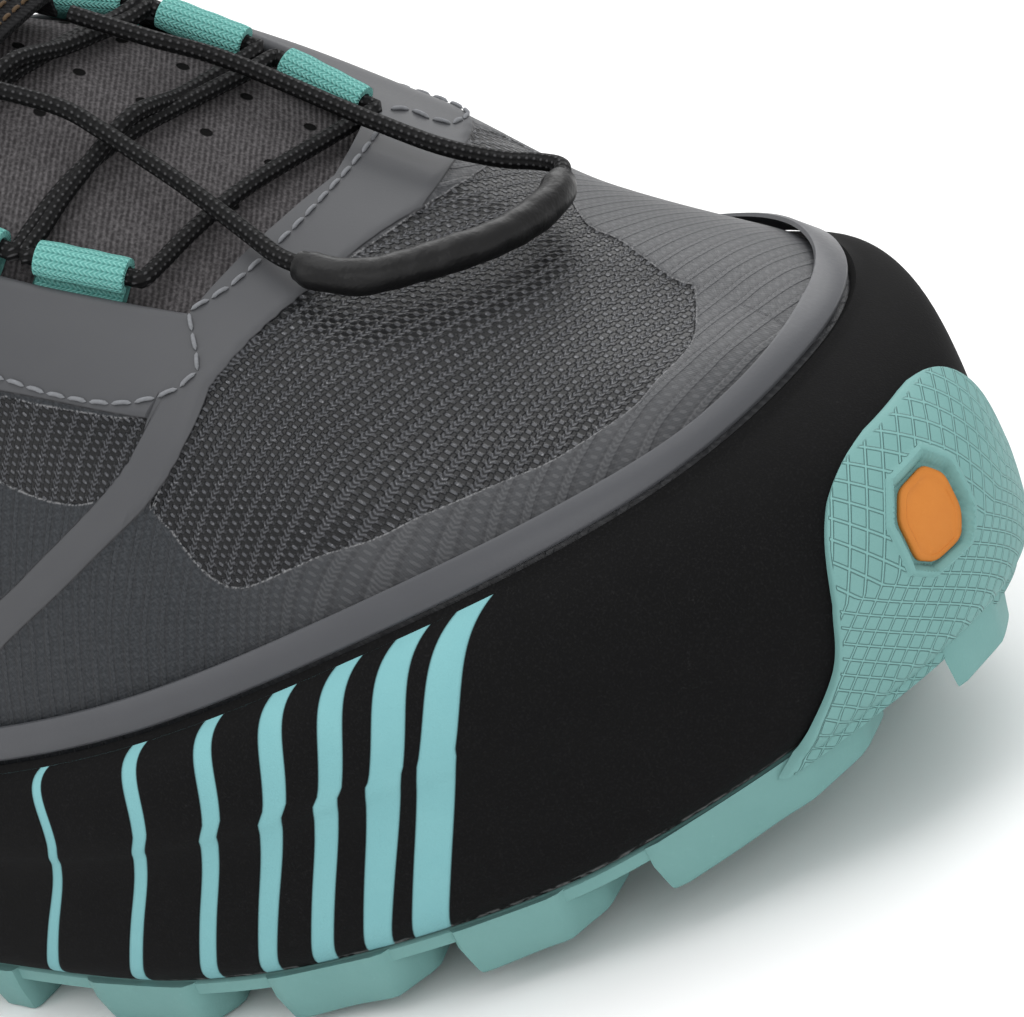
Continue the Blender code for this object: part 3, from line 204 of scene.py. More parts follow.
# Lower border of the opaque film round the throat: station, height on the lateral and on the medial side.
THROAT_BORDER = [
    (.392, .53, .52), (.45, .47, .47), (.56, .52, .50), (.64, .567, .545), (.70, .590, .560),
    (.7125, .595, .590), (.720, .640, .615), (.728, .730, .640), (.7388, .838, .700), (.746, .930, .800),
    (.7535, 1.0, 1.0),
]
STITCH_FRONT = [
    (-1, .700, .744), (-1, .7087, .792), (-1, .7135, .850), (-1, .7163, .917), (1, .7165, 1.0),
    (1, .7145, .900), (1, .7110, .833),
]
STITCH_NEAR = [
    (-1, .700, .742), (-1, .7075, .704), (-1, .7138, .671), (-1, .7110, .645), (-1, .7065, .628),
    (-1, .6963, .608), (-1, .6813, .592), (-1, .6613, .583), (-1, .640, .581), (-1, .610, .568),
    (-1, .570, .555), (-1, .520, .530), (-1, .470, .505),
]
STITCH_FAR = [
    (1, .7110, .833), (1, .7163, .808), (1, .7275, .804), (1, .7355, .785), (1, .7363, .704),
    (1, .7310, .650), (1, .7150, .612), (1, .690, .585), (1, .640, .565), (1, .590, .545), (1, .530, .515),
    (1, .470, .490),
]

# Stripes on the lateral side of the foam: both edges at the rim, at the bend and at the foot, in stations
# from the toe.
STRIPES = [
    ((-.3480, -.3435), (-.3670, -.3625), (-.4050, -.3985)),
    ((-.3010, -.2940), (-.3260, -.3200), (-.3620, -.3555)),
    ((-.2670, -.2590), (-.2950, -.2875), (-.3275, -.3200)),
    ((-.2375, -.2275), (-.2695, -.2600), (-.3010, -.2935)),
    ((-.2115, -.2010), (-.2470, -.2375), (-.2785, -.2695)),
    ((-.1880, -.1750), (-.2265, -.2130), (-.2570, -.2465)),
    ((-.1650, -.1515), (-.2070, -.1925), (-.2380, -.2240)),
]
STRIPE_BEND = 0.65

# Routes of the lace's free ends and of the sheath on them, in metres.
TAIL_LATERAL = [
    (0.0376, -0.0028, 0.1004), (0.0452, -0.0013, 0.0959), (0.0498, -0.0016, 0.0925),
    (0.0547, -0.0026, 0.0890), (0.0607, -0.0039, 0.0846), (0.0673, -0.0060, 0.0800),
    (0.0722, -0.0079, 0.0770), (0.0752, -0.0086, 0.0757),
]
TAIL_MEDIAL = [
    (0.0385, 0.0143, 0.1006), (0.0472, 0.0156, 0.0954), (0.0529, 0.0176, 0.0914), (0.0589, 0.0187, 0.0870),
    (0.0668, 0.0191, 0.0816), (0.0714, 0.0190, 0.0789), (0.0784, 0.0194, 0.0747), (0.0843, 0.0211, 0.0713),
    (0.0883, 0.0226, 0.0696), (0.0912, 0.0224, 0.0688), (0.0925, 0.0203, 0.0685),
]
SHEATH_ROUTE = [
    (0.0757, -0.0088, 0.0756), (0.0786, -0.0092, 0.0746), (0.0829, -0.0076, 0.0727),
    (0.0872, -0.0022, 0.0709), (0.0913, 0.0044, 0.0692), (0.0932, 0.0102, 0.0683),
    (0.0937, 0.0156, 0.0681), (0.0928, 0.0195, 0.0683),
]


# Curves and surfaces of the last.

def table(rows, at):
    """Rows of (place, values...) read at any place: a monotone cubic through every row."""
    rows = np.asarray(rows, float)
    x, y = rows[:, 0], rows[:, 1:]
    h = np.diff(x)[:, None]
    d = np.diff(y, axis=0) / h
    slope = np.zeros_like(y)
    near, far = 2 * h[1:] + h[:-1], h[1:] + 2 * h[:-1]
    rising = d[:-1] * d[1:] > 0
    safe = [np.where(rising, part_d, 1.0) for part_d in (d[:-1], d[1:])]
    slope[1:-1] = np.where(rising, (near + far) / (near / safe[0] + far / safe[1]), 0.0)
    slope[0], slope[-1] = d[0], d[-1]
    at = np.clip(np.asarray(at, float), x[0], x[-1])
    k = np.clip(np.searchsorted(x, at, side="right") - 1, 0, len(x) - 2)
    b = ((at - x[k]) / h[k, 0])[..., None]
    return hermite(b, y[k], y[k + 1], slope[k] * h[k], slope[k + 1] * h[k])


def smooth(x):
    """Smooth step from 0 at 0 to 1 at 1."""
    x = np.clip(x, 0.0, 1.0)
    return x * x * (3 - 2 * x)


def unit(v):
    return v / np.maximum(np.linalg.norm(v, axis=-1, keepdims=True), 1e-12)


def side_of(x):
    """Side of the shoe that a signed place lies on."""
    return np.where(x < 0, -1.0, 1.0)


def bezier(b, start, first, second, end):
    return (1 - b) ** 3 * start + 3 * (1 - b) ** 2 * b * first + 3 * (1 - b) * b ** 2 * second + b ** 3 * end


def hermite(b, start, end, leave, arrive):
    """Cubic between two points from its slopes at both."""
    return (start * (1 + 2 * b) * (1 - b) ** 2 + leave * b * (1 - b) ** 2
            + end * b ** 2 * (3 - 2 * b) - arrive * b ** 2 * (1 - b))


def distances(line):
    """Length along a line at each of its points; the points may be rows of columns."""
    step = np.linalg.norm(np.diff(line, axis=0), axis=-1)
    return np.concatenate([0 * step[:1], np.cumsum(step, axis=0)])


def read_line(want, along, line):
    """Points of a line at the wanted places along it."""
    return np.stack([np.interp(want, along, column) for column in line.T], -1)


def catmull_rom(points, per):
    """Catmull-Rom curve from the second point to the last but one, as a list of its spans."""
    w = np.linspace(0, 1, per, endpoint=False)[:, None]
    return [0.5 * (2 * b + (c - a) * w + (2 * a - 5 * b + 4 * c - d) * w ** 2
                   + (3 * b - a - 3 * c + d) * w ** 3)
            for a, b, c, d in zip(points, points[1:], points[2:], points[3:])]


def open_ends(route):
    """A route with its second and last but one points mirrored in its ends."""
    return np.vstack([2 * route[0] - route[1], route, 2 * route[-1] - route[-2]])


class Ring:
    """A closed cubic spline round the sole, read by side and station."""

    def __init__(self, rows, sizes):
        points = np.array(rows, float) * sizes
        points[:, 0] -= LENGTH / 2
        count = len(points)
        gaps = np.linalg.norm(np.roll(points, -1, axis=0) - points, axis=1)
        before = np.roll(gaps, 1)
        system = np.zeros((count, count))
        right = np.zeros_like(points)
        for i in range(count):
            j = (i + 1) % count
            system[i, i - 1], system[i, i], system[i, j] = gaps[i], 2 * (gaps[i] + before[i]), before[i]
            ahead, behind = points[j] - points[i], points[i] - points[i - 1]
            right[i] = 3 * (before[i] * ahead / gaps[i] + gaps[i] * behind / before[i])
        slopes = np.linalg.solve(system, right)
        steps = np.linspace(0, 1, 240, endpoint=False)[:, None]
        run = []
        for i in range(count):
            j, g = (i + 1) % count, gaps[i]
            run.append(hermite(steps, points[i], points[j], slopes[i] * g, slopes[j] * g))
        run = np.vstack(run)
        run = np.roll(run, -int(np.argmin(run[:, 0])), axis=0)
        toe = int(np.argmax(run[:, 0]))
        self.halves = {}
        for side, half in ((-1, run[:toe + 1]), (1, np.vstack([run[toe:], run[:1]])[::-1])):
            along = distances(half)
            self.halves[side] = (along / along[-1], half)

    def at(self, side, t):
        side, t = np.broadcast_arrays(side, np.asarray(t, float))
        lateral, medial = (read_line(t, *self.halves[which]) for which in (-1, 1))
        return np.where((side < 0)[..., None], lateral, medial)

    def outward(self, side, t):
        side, t = np.broadcast_arrays(side, np.asarray(t, float))
        step = 3e-3
        run = unit((self.at(side, np.clip(t + step, 0, 1)) - self.at(side, np.clip(t - step, 0, 1)))[..., :2])
        out = np.stack([run[..., 1], -run[..., 0]], -1) * -side[..., None]
        out[t <= 0] = (-1, 0)
        out[t >= 1] = (1, 0)
        return out


SOLE = Ring(OUTLINE, (LENGTH, BALL_WIDTH / 2))
RIMS = Ring(RIM, (LENGTH, BALL_WIDTH / 2, RIM_HEIGHT))


def share(x):
    """Place along the shoe as a share of LENGTH from the heel."""
    return np.asarray(x, float) / LENGTH + 0.5


def ground(x):
    return table(GROUND, share(x))[..., 0] * TOE_SPRING


def foot(x):
    return ground(x) + PLATE + LUG


def floor(x):
    row = table(FLOOR, share(x))
    return row[..., 0] * HEEL_STACK + row[..., 1] * TOE_STACK


def ridge_y(x):
    return RIDGE_SHIFT * smooth((share(x) - 0.35) / 0.5)


def top_line(t):
    """Top line at a station: x, half width, height, and the leans at the top line and at the rim."""
    row = table(TOP, t)
    x = (row[..., 0] - 0.5) * LENGTH
    height = row[..., 2] * COLLAR_HEIGHT + row[..., 3] * INSTEP_HEIGHT
    return x, row[..., 1] * COLLAR_WIDTH / 2, height, np.radians(row[..., 4]), np.radians(row[..., 5])


def ridge_slope(t):
    t = np.clip(t, RIDGE_FROM + 0.004, POLE_FROM - 0.006)
    x0, _, z0, _, _ = top_line(t - 0.004)
    x1, _, z1, _, _ = top_line(t + 0.004)
    return (z1 - z0) / (x1 - x0)


def skin(side, t, v):
    """Outside of the last. Over the rim it is a cubic Bezier from the rim to the top line, whose end
    directions are the leans of both; under the rim it is a cubic from the feather line up to the rim."""
    side, t, v = np.broadcast_arrays(np.asarray(side, float), np.asarray(t, float), np.asarray(v, float))
    rim = RIMS.at(side, t)
    out = SOLE.outward(side, t)
    feather = SOLE.at(side, t) - FEATHER_IN * out
    feather = np.concatenate([feather, (floor(feather[..., 0]) + GAP)[..., None]], -1)
    x, half, height, lean_top, lean_rim = top_line(t)
    top = np.stack([x, ridge_y(x) * smooth((t - 0.30) / 0.14) + side * half, height], -1)
    inward = unit((top - rim)[..., :2])
    across = np.stack([np.zeros_like(t), -side], -1)
    fan = np.maximum(smooth((t - 0.76) / 0.18), smooth((0.22 - t) / 0.12))[..., None]
    heading = unit(across * (1 - fan) + inward * fan)
    climb = np.where(t >= RIDGE_FROM, ridge_slope(t), 0.0) * heading[..., 0]
    at_top = np.stack([heading[..., 0] * np.sin(lean_top), heading[..., 1] * np.sin(lean_top),
                       np.cos(lean_top) + climb * np.sin(lean_top)], -1)
    at_rim = np.concatenate([inward * np.sin(lean_rim)[..., None], np.cos(lean_rim)[..., None]], -1)
    chord = top - rim
    rise, run = np.abs(chord[..., 2]), np.linalg.norm(chord[..., :2], axis=-1)
    row = table(FULLNESS, t)
    full = np.where(side < 0, row[..., 0], row[..., 1])
    pull_rim = (full * (rise * np.cos(lean_rim) + run * np.sin(lean_rim)))[..., None]
    pull_top = (full * (rise * np.cos(lean_top) + run * np.sin(lean_top)))[..., None]
    b = np.clip((v - RIM_V) / (1 - RIM_V), 0, 1)[..., None]
    over = bezier(b, rim, rim + pull_rim * at_rim, top - pull_top * at_top, top)
    a = np.clip(v / RIM_V, 0, 1)[..., None]
    deep = (rim - feather)[..., 2:]
    start = np.concatenate([out * 0.25, np.ones_like(out[..., :1])], -1) * deep
    under = ((2 * a ** 3 - 3 * a ** 2 + 1) * feather + (a ** 3 - 2 * a ** 2 + a) * start
             + (3 * a ** 2 - 2 * a ** 3) * rim + (a ** 3 - a ** 2) * at_rim * deep)
    return np.where((v < RIM_V)[..., None], under, over)


def skin_normal(side, t, v):
    """Cross product of the skin's two slopes; on the ridge both sides give the ridge's own normal."""
    side, t, v = np.broadcast_arrays(np.asarray(side, float), np.asarray(t, float), np.asarray(v, float))
    step = 2e-3
    safe = np.where(t > POLE_FROM - 0.03, np.minimum(v, 0.97), v)
    along = skin(side, np.clip(t + step, 0, 1), safe) - skin(side, np.clip(t - step, 0, 1), safe)
    up = skin(side, t, np.clip(safe + step, 0, 1)) - skin(side, t, np.clip(safe - step, 0, 1))
    normal = unit(np.cross(along, up) * -side[..., None])
    slope = ridge_slope(t)
    ridge = unit(np.stack([-slope, np.zeros_like(slope), np.ones_like(slope)], -1))
    near = np.where(t >= RIDGE_FROM, smooth((v - 0.94) / 0.06), 0.0)[..., None]
    normal = normal * (1 - near) + ridge * near
    normal[..., 1] *= np.where((t <= 0) | (t >= 1), 0.0, 1.0)
    return unit(normal)


def off_skin(side, t, v, distance):
    return skin(side, t, v) + skin_normal(side, t, v) * np.asarray(distance)[..., None]


def opening_v(side, t):
    """Height at which the collar and the throat are cut, by station up to the throat's corner."""
    row = table(OPENING, np.minimum(t, CORNER))
    cut = np.where(np.asarray(side) < 0, row[..., 0], row[..., 1])
    return np.where(np.asarray(t) < OPENING[0][0], 1.0, cut)


def edge_v(side, t):
    """Height of the upper's edge: the opening, closed to the ridge from the corner to the throat's front."""
    cut = opening_v(side, t)
    return cut + (1 - cut) * np.clip((np.asarray(t) - CORNER) / (FRONT - CORNER), 0, 1)


def v_step(side, t, v, distance):
    """Step in height that covers a distance up the skin."""
    rise = skin(side, t, np.asarray(v) + 1e-3) - skin(side, t, np.asarray(v) - 1e-3)
    return distance / (np.linalg.norm(rise, axis=-1) / 2e-3)


def over_skin(x, y, distance):
    """Places at a distance off the skin over points of the ground, by Newton steps in station and height."""
    x, y = np.asarray(x, float), np.asarray(y, float)
    side = np.where(y > ridge_y(x), 1.0, -1.0)
    t, v = np.full_like(x, 0.60), np.full_like(x, 0.80)
    for _ in range(30):
        here = skin(side, t, v)
        along = (skin(side, t + 1e-4, v) - here) / 1e-4
        up = (here - skin(side, t, v - 1e-4)) / 1e-4
        miss = np.stack([x, y], -1) - here[..., :2]
        det = along[..., 0] * up[..., 1] - along[..., 1] * up[..., 0]
        dt = (miss[..., 0] * up[..., 1] - miss[..., 1] * up[..., 0]) / det
        dv = (along[..., 0] * miss[..., 1] - along[..., 1] * miss[..., 0]) / det
        t = np.clip(t + np.clip(dt, -0.05, 0.05), 0.445, 0.92)
        v = np.clip(v + np.clip(dv, -0.15, 0.15), RIM_V, 0.9999)
    return off_skin(side, t, v, distance)


def side_wall(side, t, h):
    """Outside of the foam: by a table from its foot (h = 0) to its widest line, by a Bezier up to its rim."""
    side, t, h = np.broadcast_arrays(np.asarray(side, float), np.asarray(t, float), np.asarray(h, float))
    flat = SOLE.outward(side, t)
    zero = np.zeros_like(t)[..., None]
    out = np.concatenate([flat, zero], -1)
    wide = SOLE.at(side, t)
    low = wide - TUCK * flat
    z_low = foot(low[..., 0])
    lip = RIMS.at(side, t) + (GAP + LIP) * np.concatenate([RIMS.outward(side, t), zero], -1)
    lip = lip - np.array([0, 0, 0.15 * LIP])
    middle = table(WIDEST, t)[..., 0]
    z_wide = z_low + (lip[..., 2] - z_low) * middle
    a = np.clip(h / middle, 0, 1)
    row = table(SIDE, a)
    tuck = TUCK * (row[..., 0] + row[..., 1] * (1 - smooth((t - 0.74) / 0.18)))
    below = np.concatenate([wide - tuck[..., None] * flat, (z_low + (z_wide - z_low) * a)[..., None]], -1)
    b = np.clip((h - middle) / (1 - middle), 0, 1)[..., None]
    start = np.concatenate([wide, z_wide[..., None]], -1)
    rise = (lip - start)[..., 2:]
    reach = np.linalg.norm((lip - start)[..., :2], axis=-1, keepdims=True)
    up = np.array([0, 0, 1.0])
    above = bezier(b, start, start + 0.62 * up * rise, lip + out * reach * 0.42 - 0.10 * up * rise, lip)
    return np.where((h <= middle)[..., None], below, above)


def toe_place(q, h, distance):
    """Place on the foam round the toe: q in stations from the tip, - lateral, + medial, h up the side."""
    q, h = np.broadcast_arrays(np.asarray(q, float), np.asarray(h, float))
    side, t = side_of(q), 1 - np.abs(q)
    up = side_wall(side, t, h + 0.01) - side_wall(side, t, h - 0.01)

    def flat(qq):
        return side_wall(side_of(qq), 1 - np.abs(qq), h)

    ahead = flat(q + 0.004) - flat(q - 0.004)
    return side_wall(side, t, h) + np.asarray(distance)[..., None] * unit(np.cross(ahead, up))


def full_wall(t, v):
    """Depth of the upper's wall, padded inside the collar."""
    rear = 1 - smooth((t - 0.32) / 0.10)
    swell = smooth((v - 0.50) / 0.30) * (1 - 0.75 * smooth((v - 0.90) / 0.10))
    return -(WALL + PADDING * rear * swell)


def curve_through(route, count):
    """Points at even lengths along a Catmull-Rom curve through a route."""
    route = np.array(route, float)
    line = np.vstack(catmull_rom(open_ends(route), 24) + [route[-1:]])
    along = distances(line)
    return read_line(np.linspace(0, along[-1], count), along, line)


# Meshes.

def corners(rows, cols, wrap_rows, wrap_cols):
    """Corner (row, column) pairs of every quad of a grid; a wrapped grid counts on past its last line."""
    i, j = np.meshgrid(np.arange(rows - (not wrap_rows)), np.arange(cols - (not wrap_cols)), indexing="ij")
    i, j = i.ravel(), j.ravel()
    return np.stack([np.stack([i, j], -1), np.stack([i, j + 1], -1),
                     np.stack([i + 1, j + 1], -1), np.stack([i + 1, j], -1)], 1)


def piece(name, points, looks, nodes, wrap=(False, True), keep=None, uv=None, values=None, caps=False,
          zone=None):
    """One closed piece from a grid of points: quads between neighbours, doubles joined, normals outward."""
    rows, cols = points.shape[:2]
    quad = corners(rows, cols, *wrap)
    if keep is not None:
        quad = quad[keep(quad)]
    index = (quad[..., 0] % rows) * cols + quad[..., 1] % cols
    faces = index.tolist()
    if caps:
        faces += [list(range(cols)), list(range((rows - 1) * cols, rows * cols))]
    mesh = bpy.data.meshes.new(name)
    mesh.from_pydata(points.reshape(-1, 3).tolist(), [], faces)
    for key, value in (values or {}).items():
        attribute = mesh.attributes.new(key, 'FLOAT', 'POINT')
        attribute.data.foreach_set("value", np.asarray(value, np.float32).ravel())
    if uv is not None:
        at = uv[quad[..., 0], quad[..., 1]].reshape(-1, 2)
        if caps:
            at = np.vstack([at, np.tile(uv[0, 0], (cols, 1)), np.tile(uv[-1, 0], (cols, 1))])
        mesh.uv_layers.new(name="UVMap").data.foreach_set("uv", at.astype(np.float32).ravel())
    if zone is not None:
        index = np.concatenate([zone(quad), np.zeros(2 * caps, int)]).astype(np.int32)
        mesh.polygons.foreach_set("material_index", index)
    return finish_piece(name, mesh, looks, nodes)


def new_object(name, data):
    item = bpy.data.objects.new(name, data)
    bpy.context.scene.collection.objects.link(item)
    return item


def finish_piece(name, mesh, looks, nodes=()):
    shape = bmesh.new()
    shape.from_mesh(mesh)
    bmesh.ops.remove_doubles(shape, verts=shape.verts, dist=1e-6)
    bmesh.ops.dissolve_degenerate(shape, edges=shape.edges, dist=1e-7)
    loose = [v for v in shape.verts if not v.link_faces]
    bmesh.ops.delete(shape, geom=loose, context='VERTS')
    bmesh.ops.recalc_face_normals(shape, faces=shape.faces)
    shape.to_mesh(mesh)
    shape.free()
    mesh.shade_smooth()
    mesh.set_sharp_from_angle(angle=SHARP_ANGLE)
    item = new_object(name, mesh)
    for look in looks if isinstance(looks, list) else [looks]:
        mesh.materials.append(look)
    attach(item, "root")
    if nodes:
        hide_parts(*nodes)
    return item


def tube(line, radius, sides):
    """Circle carried along a line: centre + r (cos a side + sin a lift), where side is level."""
    run = unit(np.gradient(line, axis=0))
    side = unit(np.cross(run, (0.0, 0.0, 1.0)))
    lift = np.cross(side, run)
    a = np.linspace(0, TURN, sides, endpoint=False)[None, :, None]
    r = np.broadcast_to(radius, (len(line), sides))[..., None]
    return line[:, None] + r * (np.cos(a) * side[:, None] + np.sin(a) * lift[:, None])


def tube_uv(line, sides):
    """Along the tube in millimetres, and round it from 0 to 1."""
    return np.stack(np.meshgrid(distances(line) / MM, np.arange(sides + 1) / sides, indexing="ij"), -1)


def pillow(top_at, bottom_at, rows, cols, crown):
    """Grid over a sheet and back under it: the middle surface plus and minus half the thickness times
    the crown (1 - |s|^n)^(1/n) in both directions, so that the rim is round and closed."""
    s = np.sin(np.linspace(-1, 1, rows) * math.pi / 2)
    c = np.sin(np.linspace(-1, 1, cols) * math.pi / 2)
    s, c = np.meshgrid(s, c, indexing="ij")
    swell = ((1 - np.abs(s) ** crown) * (1 - np.abs(c) ** crown)) ** (1 / crown)
    high, low = top_at(s, c), bottom_at(s, c)
    middle, half = (high + low) / 2, (high - low) / 2
    over, under = middle + half * swell[..., None], middle - half * swell[..., None]
    return np.concatenate([over, under[:, ::-1]], 1)


def chart_curve(route, per, closed):
    """Catmull-Rom curve through a route of (side, station, height), in the chart (t, side (1 - v))."""
    flat = np.array([(t, side * (1 - v)) for side, t, v in route])
    padded = np.vstack([flat[-1:], flat, flat[:2]]) if closed else open_ends(flat)
    line = np.vstack(catmull_rom(padded, per) + ([] if closed else [flat[-1:]]))
    side = side_of(line[:, 1])
    v = np.clip(1 - np.abs(line[:, 1]), 0, 1)
    return line, side, line[:, 0], v


def inside(px, py, line):
    """Even-odd test of points against a closed line."""
    found = np.zeros(px.shape, bool)
    for (x0, y0), (x1, y1) in zip(line, np.roll(line, -1, axis=0)):
        if y0 != y1:
            found ^= ((y0 > py) != (y1 > py)) & (px < (x1 - x0) * (py - y0) / (y1 - y0) + x0)
    return found


def signed_distance(places, side, t, v, route):
    """Millimetres from an outline on the skin, positive inside it, at most 9."""
    line, line_side, line_t, line_v = chart_curve(route, 8, True)
    edge = skin(line_side, line_t, line_v)
    ab = np.roll(edge, -1, axis=0) - edge
    result = np.full(t.shape, 9.0)
    near = np.zeros(t.shape, bool)
    near[(t > line_t.min() - 0.03) & (t < line_t.max() + 0.03)] = True
    found = places[near]
    best = np.empty(len(found))
    for k in range(0, len(found), 4000):
        ap = found[k:k + 4000, None] - edge
        along = np.clip((ap * ab).sum(-1) / np.maximum((ab * ab).sum(-1), 1e-14), 0, 1)
        best[k:k + 4000] = np.sqrt((((ap - along[..., None] * ab)) ** 2).sum(-1).min(1))
    result[near] = np.minimum(best / MM, 9.0)
    sign = np.where(inside(t, side * (1 - v), line), 1.0, -1.0)
    return result * sign


# Materials.

class Wire:
    """A socket's value in shader arithmetic."""

    def __init__(self, look, socket):
        self.look, self.socket = look, socket

    def math(self, operation, *others, swap=False):
        node = self.look.tree.nodes.new("ShaderNodeMath")
        node.operation = operation
        terms = [self, *others]
        if swap:
            terms = terms[::-1]
        for place, term in zip(node.inputs, terms):
            self.look.feed(place, term)
        return Wire(self.look, node.outputs[0])

    def __add__(self, other):
        return self.math('ADD', other)

    def __sub__(self, other):
        return self.math('SUBTRACT', other)

    def __rsub__(self, other):
        return self.math('SUBTRACT', other, swap=True)

    def __mul__(self, other):
        return self.math('MULTIPLY', other)

    def __truediv__(self, other):
        return self.math('DIVIDE', other)

    __radd__, __rmul__ = __add__, __mul__

    def sin(self):
        return self.math('SINE')

    def abs(self):
        return self.math('ABSOLUTE')

    def least(self, other):
        return self.math('MINIMUM', other)

    def most(self, other):
        return self.math('MAXIMUM', other)

    def power(self, other):
        return self.math('POWER', other)

    def saw(self, pitch):
        """Distance from the nearest multiple of a pitch."""
        return self.math('PINGPONG', pitch / 2)

    def ramp(self, low, high):
        """Smooth step from 0 at low to 1 at high."""
        node = self.look.tree.nodes.new("ShaderNodeMapRange")
        node.interpolation_type = 'SMOOTHSTEP'
        ends = ((low, high), (0.0, 1.0)) if low < high else ((high, low), (1.0, 0.0))
        self.look.feed(node.inputs["Value"], self)
        node.inputs["From Min"].default_value, node.inputs["From Max"].default_value = ends[0]
        node.inputs["To Min"].default_value, node.inputs["To Max"].default_value = ends[1]
        return Wire(self.look, node.outputs["Result"])


class Look:
    """One finish: a Principled shader and what feeds it."""

    def __init__(self, name, colour, roughness, **sockets):
        self.material = bpy.data.materials.new(name)
        self.material.use_nodes = True
        self.tree = self.material.node_tree
        self.shader = self.tree.nodes["Principled BSDF"]
        self.set("Base Color", colour)
        self.set("Roughness", roughness)
        for key, value in sockets.items():
            self.set(key.replace("_", " "), value)

    def feed(self, socket, value):
        if isinstance(value, Wire):
            self.tree.links.new(value.socket, socket)
        elif socket.type == 'RGBA':
            socket.default_value = (*value[:3], 1.0)
        else:
            socket.default_value = value

    def set(self, name, value):
        self.feed(self.shader.inputs[name], value)

    def node(self, kind, settings=None, out=0, **inputs):
        made = self.tree.nodes.new("ShaderNode" + kind)
        for key, value in (settings or {}).items():
            setattr(made, key, value)
        for key, value in inputs.items():
            self.feed(made.inputs[key.replace("_", " ")], value)
        return Wire(self, made.outputs[out])

    def value(self, name):
        return self.node("Attribute", {"attribute_name": name}, "Fac")

    def parts(self, space, count):
        made = self.tree.nodes.new("ShaderNodeSeparateXYZ")
        self.feed(made.inputs[0], self.node("TexCoord", out=space))
        return [Wire(self, made.outputs[i]) for i in range(count)]

    def place(self):
        """Object coordinates in millimetres, as x, y and z."""
        return [part * 1000.0 for part in self.parts("Object", 3)]

    def uv(self):
        return self.parts("UV", 2)

    def noise(self, size, detail=3.0, rough=0.55):
        """Noise whose lumps are about so many millimetres across."""
        return self.node("TexNoise", out="Fac", Vector=self.node("TexCoord", out="Object"),
                         Scale=1 / (size * MM), Detail=detail, Roughness=rough)

    def mix(self, share_of, a, b):
        made = self.tree.nodes.new("ShaderNodeMix")
        made.data_type = 'RGBA'
        self.feed(made.inputs["Factor"], share_of)
        self.feed(made.inputs[6], a)
        self.feed(made.inputs[7], b)
        return Wire(self, made.outputs[2])

    def bump(self, height, strength=1.0):
        """Relief in millimetres."""
        made = self.tree.nodes.new("ShaderNodeBump")
        made.inputs["Distance"].default_value = MM
        made.inputs["Strength"].default_value = strength
        self.feed(made.inputs["Height"], height)
        self.set("Normal", Wire(self, made.outputs["Normal"]))


RIB = 2.5


def knit(look, across, x, y):
    """Relief of the upper's knit: ropes a few millimetres apart that run across the shoe, with chevron
    threads, and rows of small loops between them. Returns relief, the mask of the ropes and that of
    the grooves beside them, where the upper's look paints shade."""
    a = x - (0.42 - x.ramp(80.0, 108.0) * 0.26) * y + look.noise(9.0, 1.0) * 0.8
    b = across + 0.30 * x
    rope_at = a.saw(RIB)
    rope = rope_at.ramp(0.46, 0.24)
    chevron = ((b - rope_at * 1.3) * (TURN / 0.90)).sin() * 0.5 + 0.5
    knots = ((a * (TURN / (RIB * 2 / 3))).sin() * (b * (TURN / 1.55)).sin()).ramp(-0.25, 0.70)
    relief = knots * (1 - rope) + (chevron * 0.65 + 0.35) * rope
    return relief, rope, rope_at.ramp(0.34, 0.50) * rope_at.ramp(0.78, 0.60)


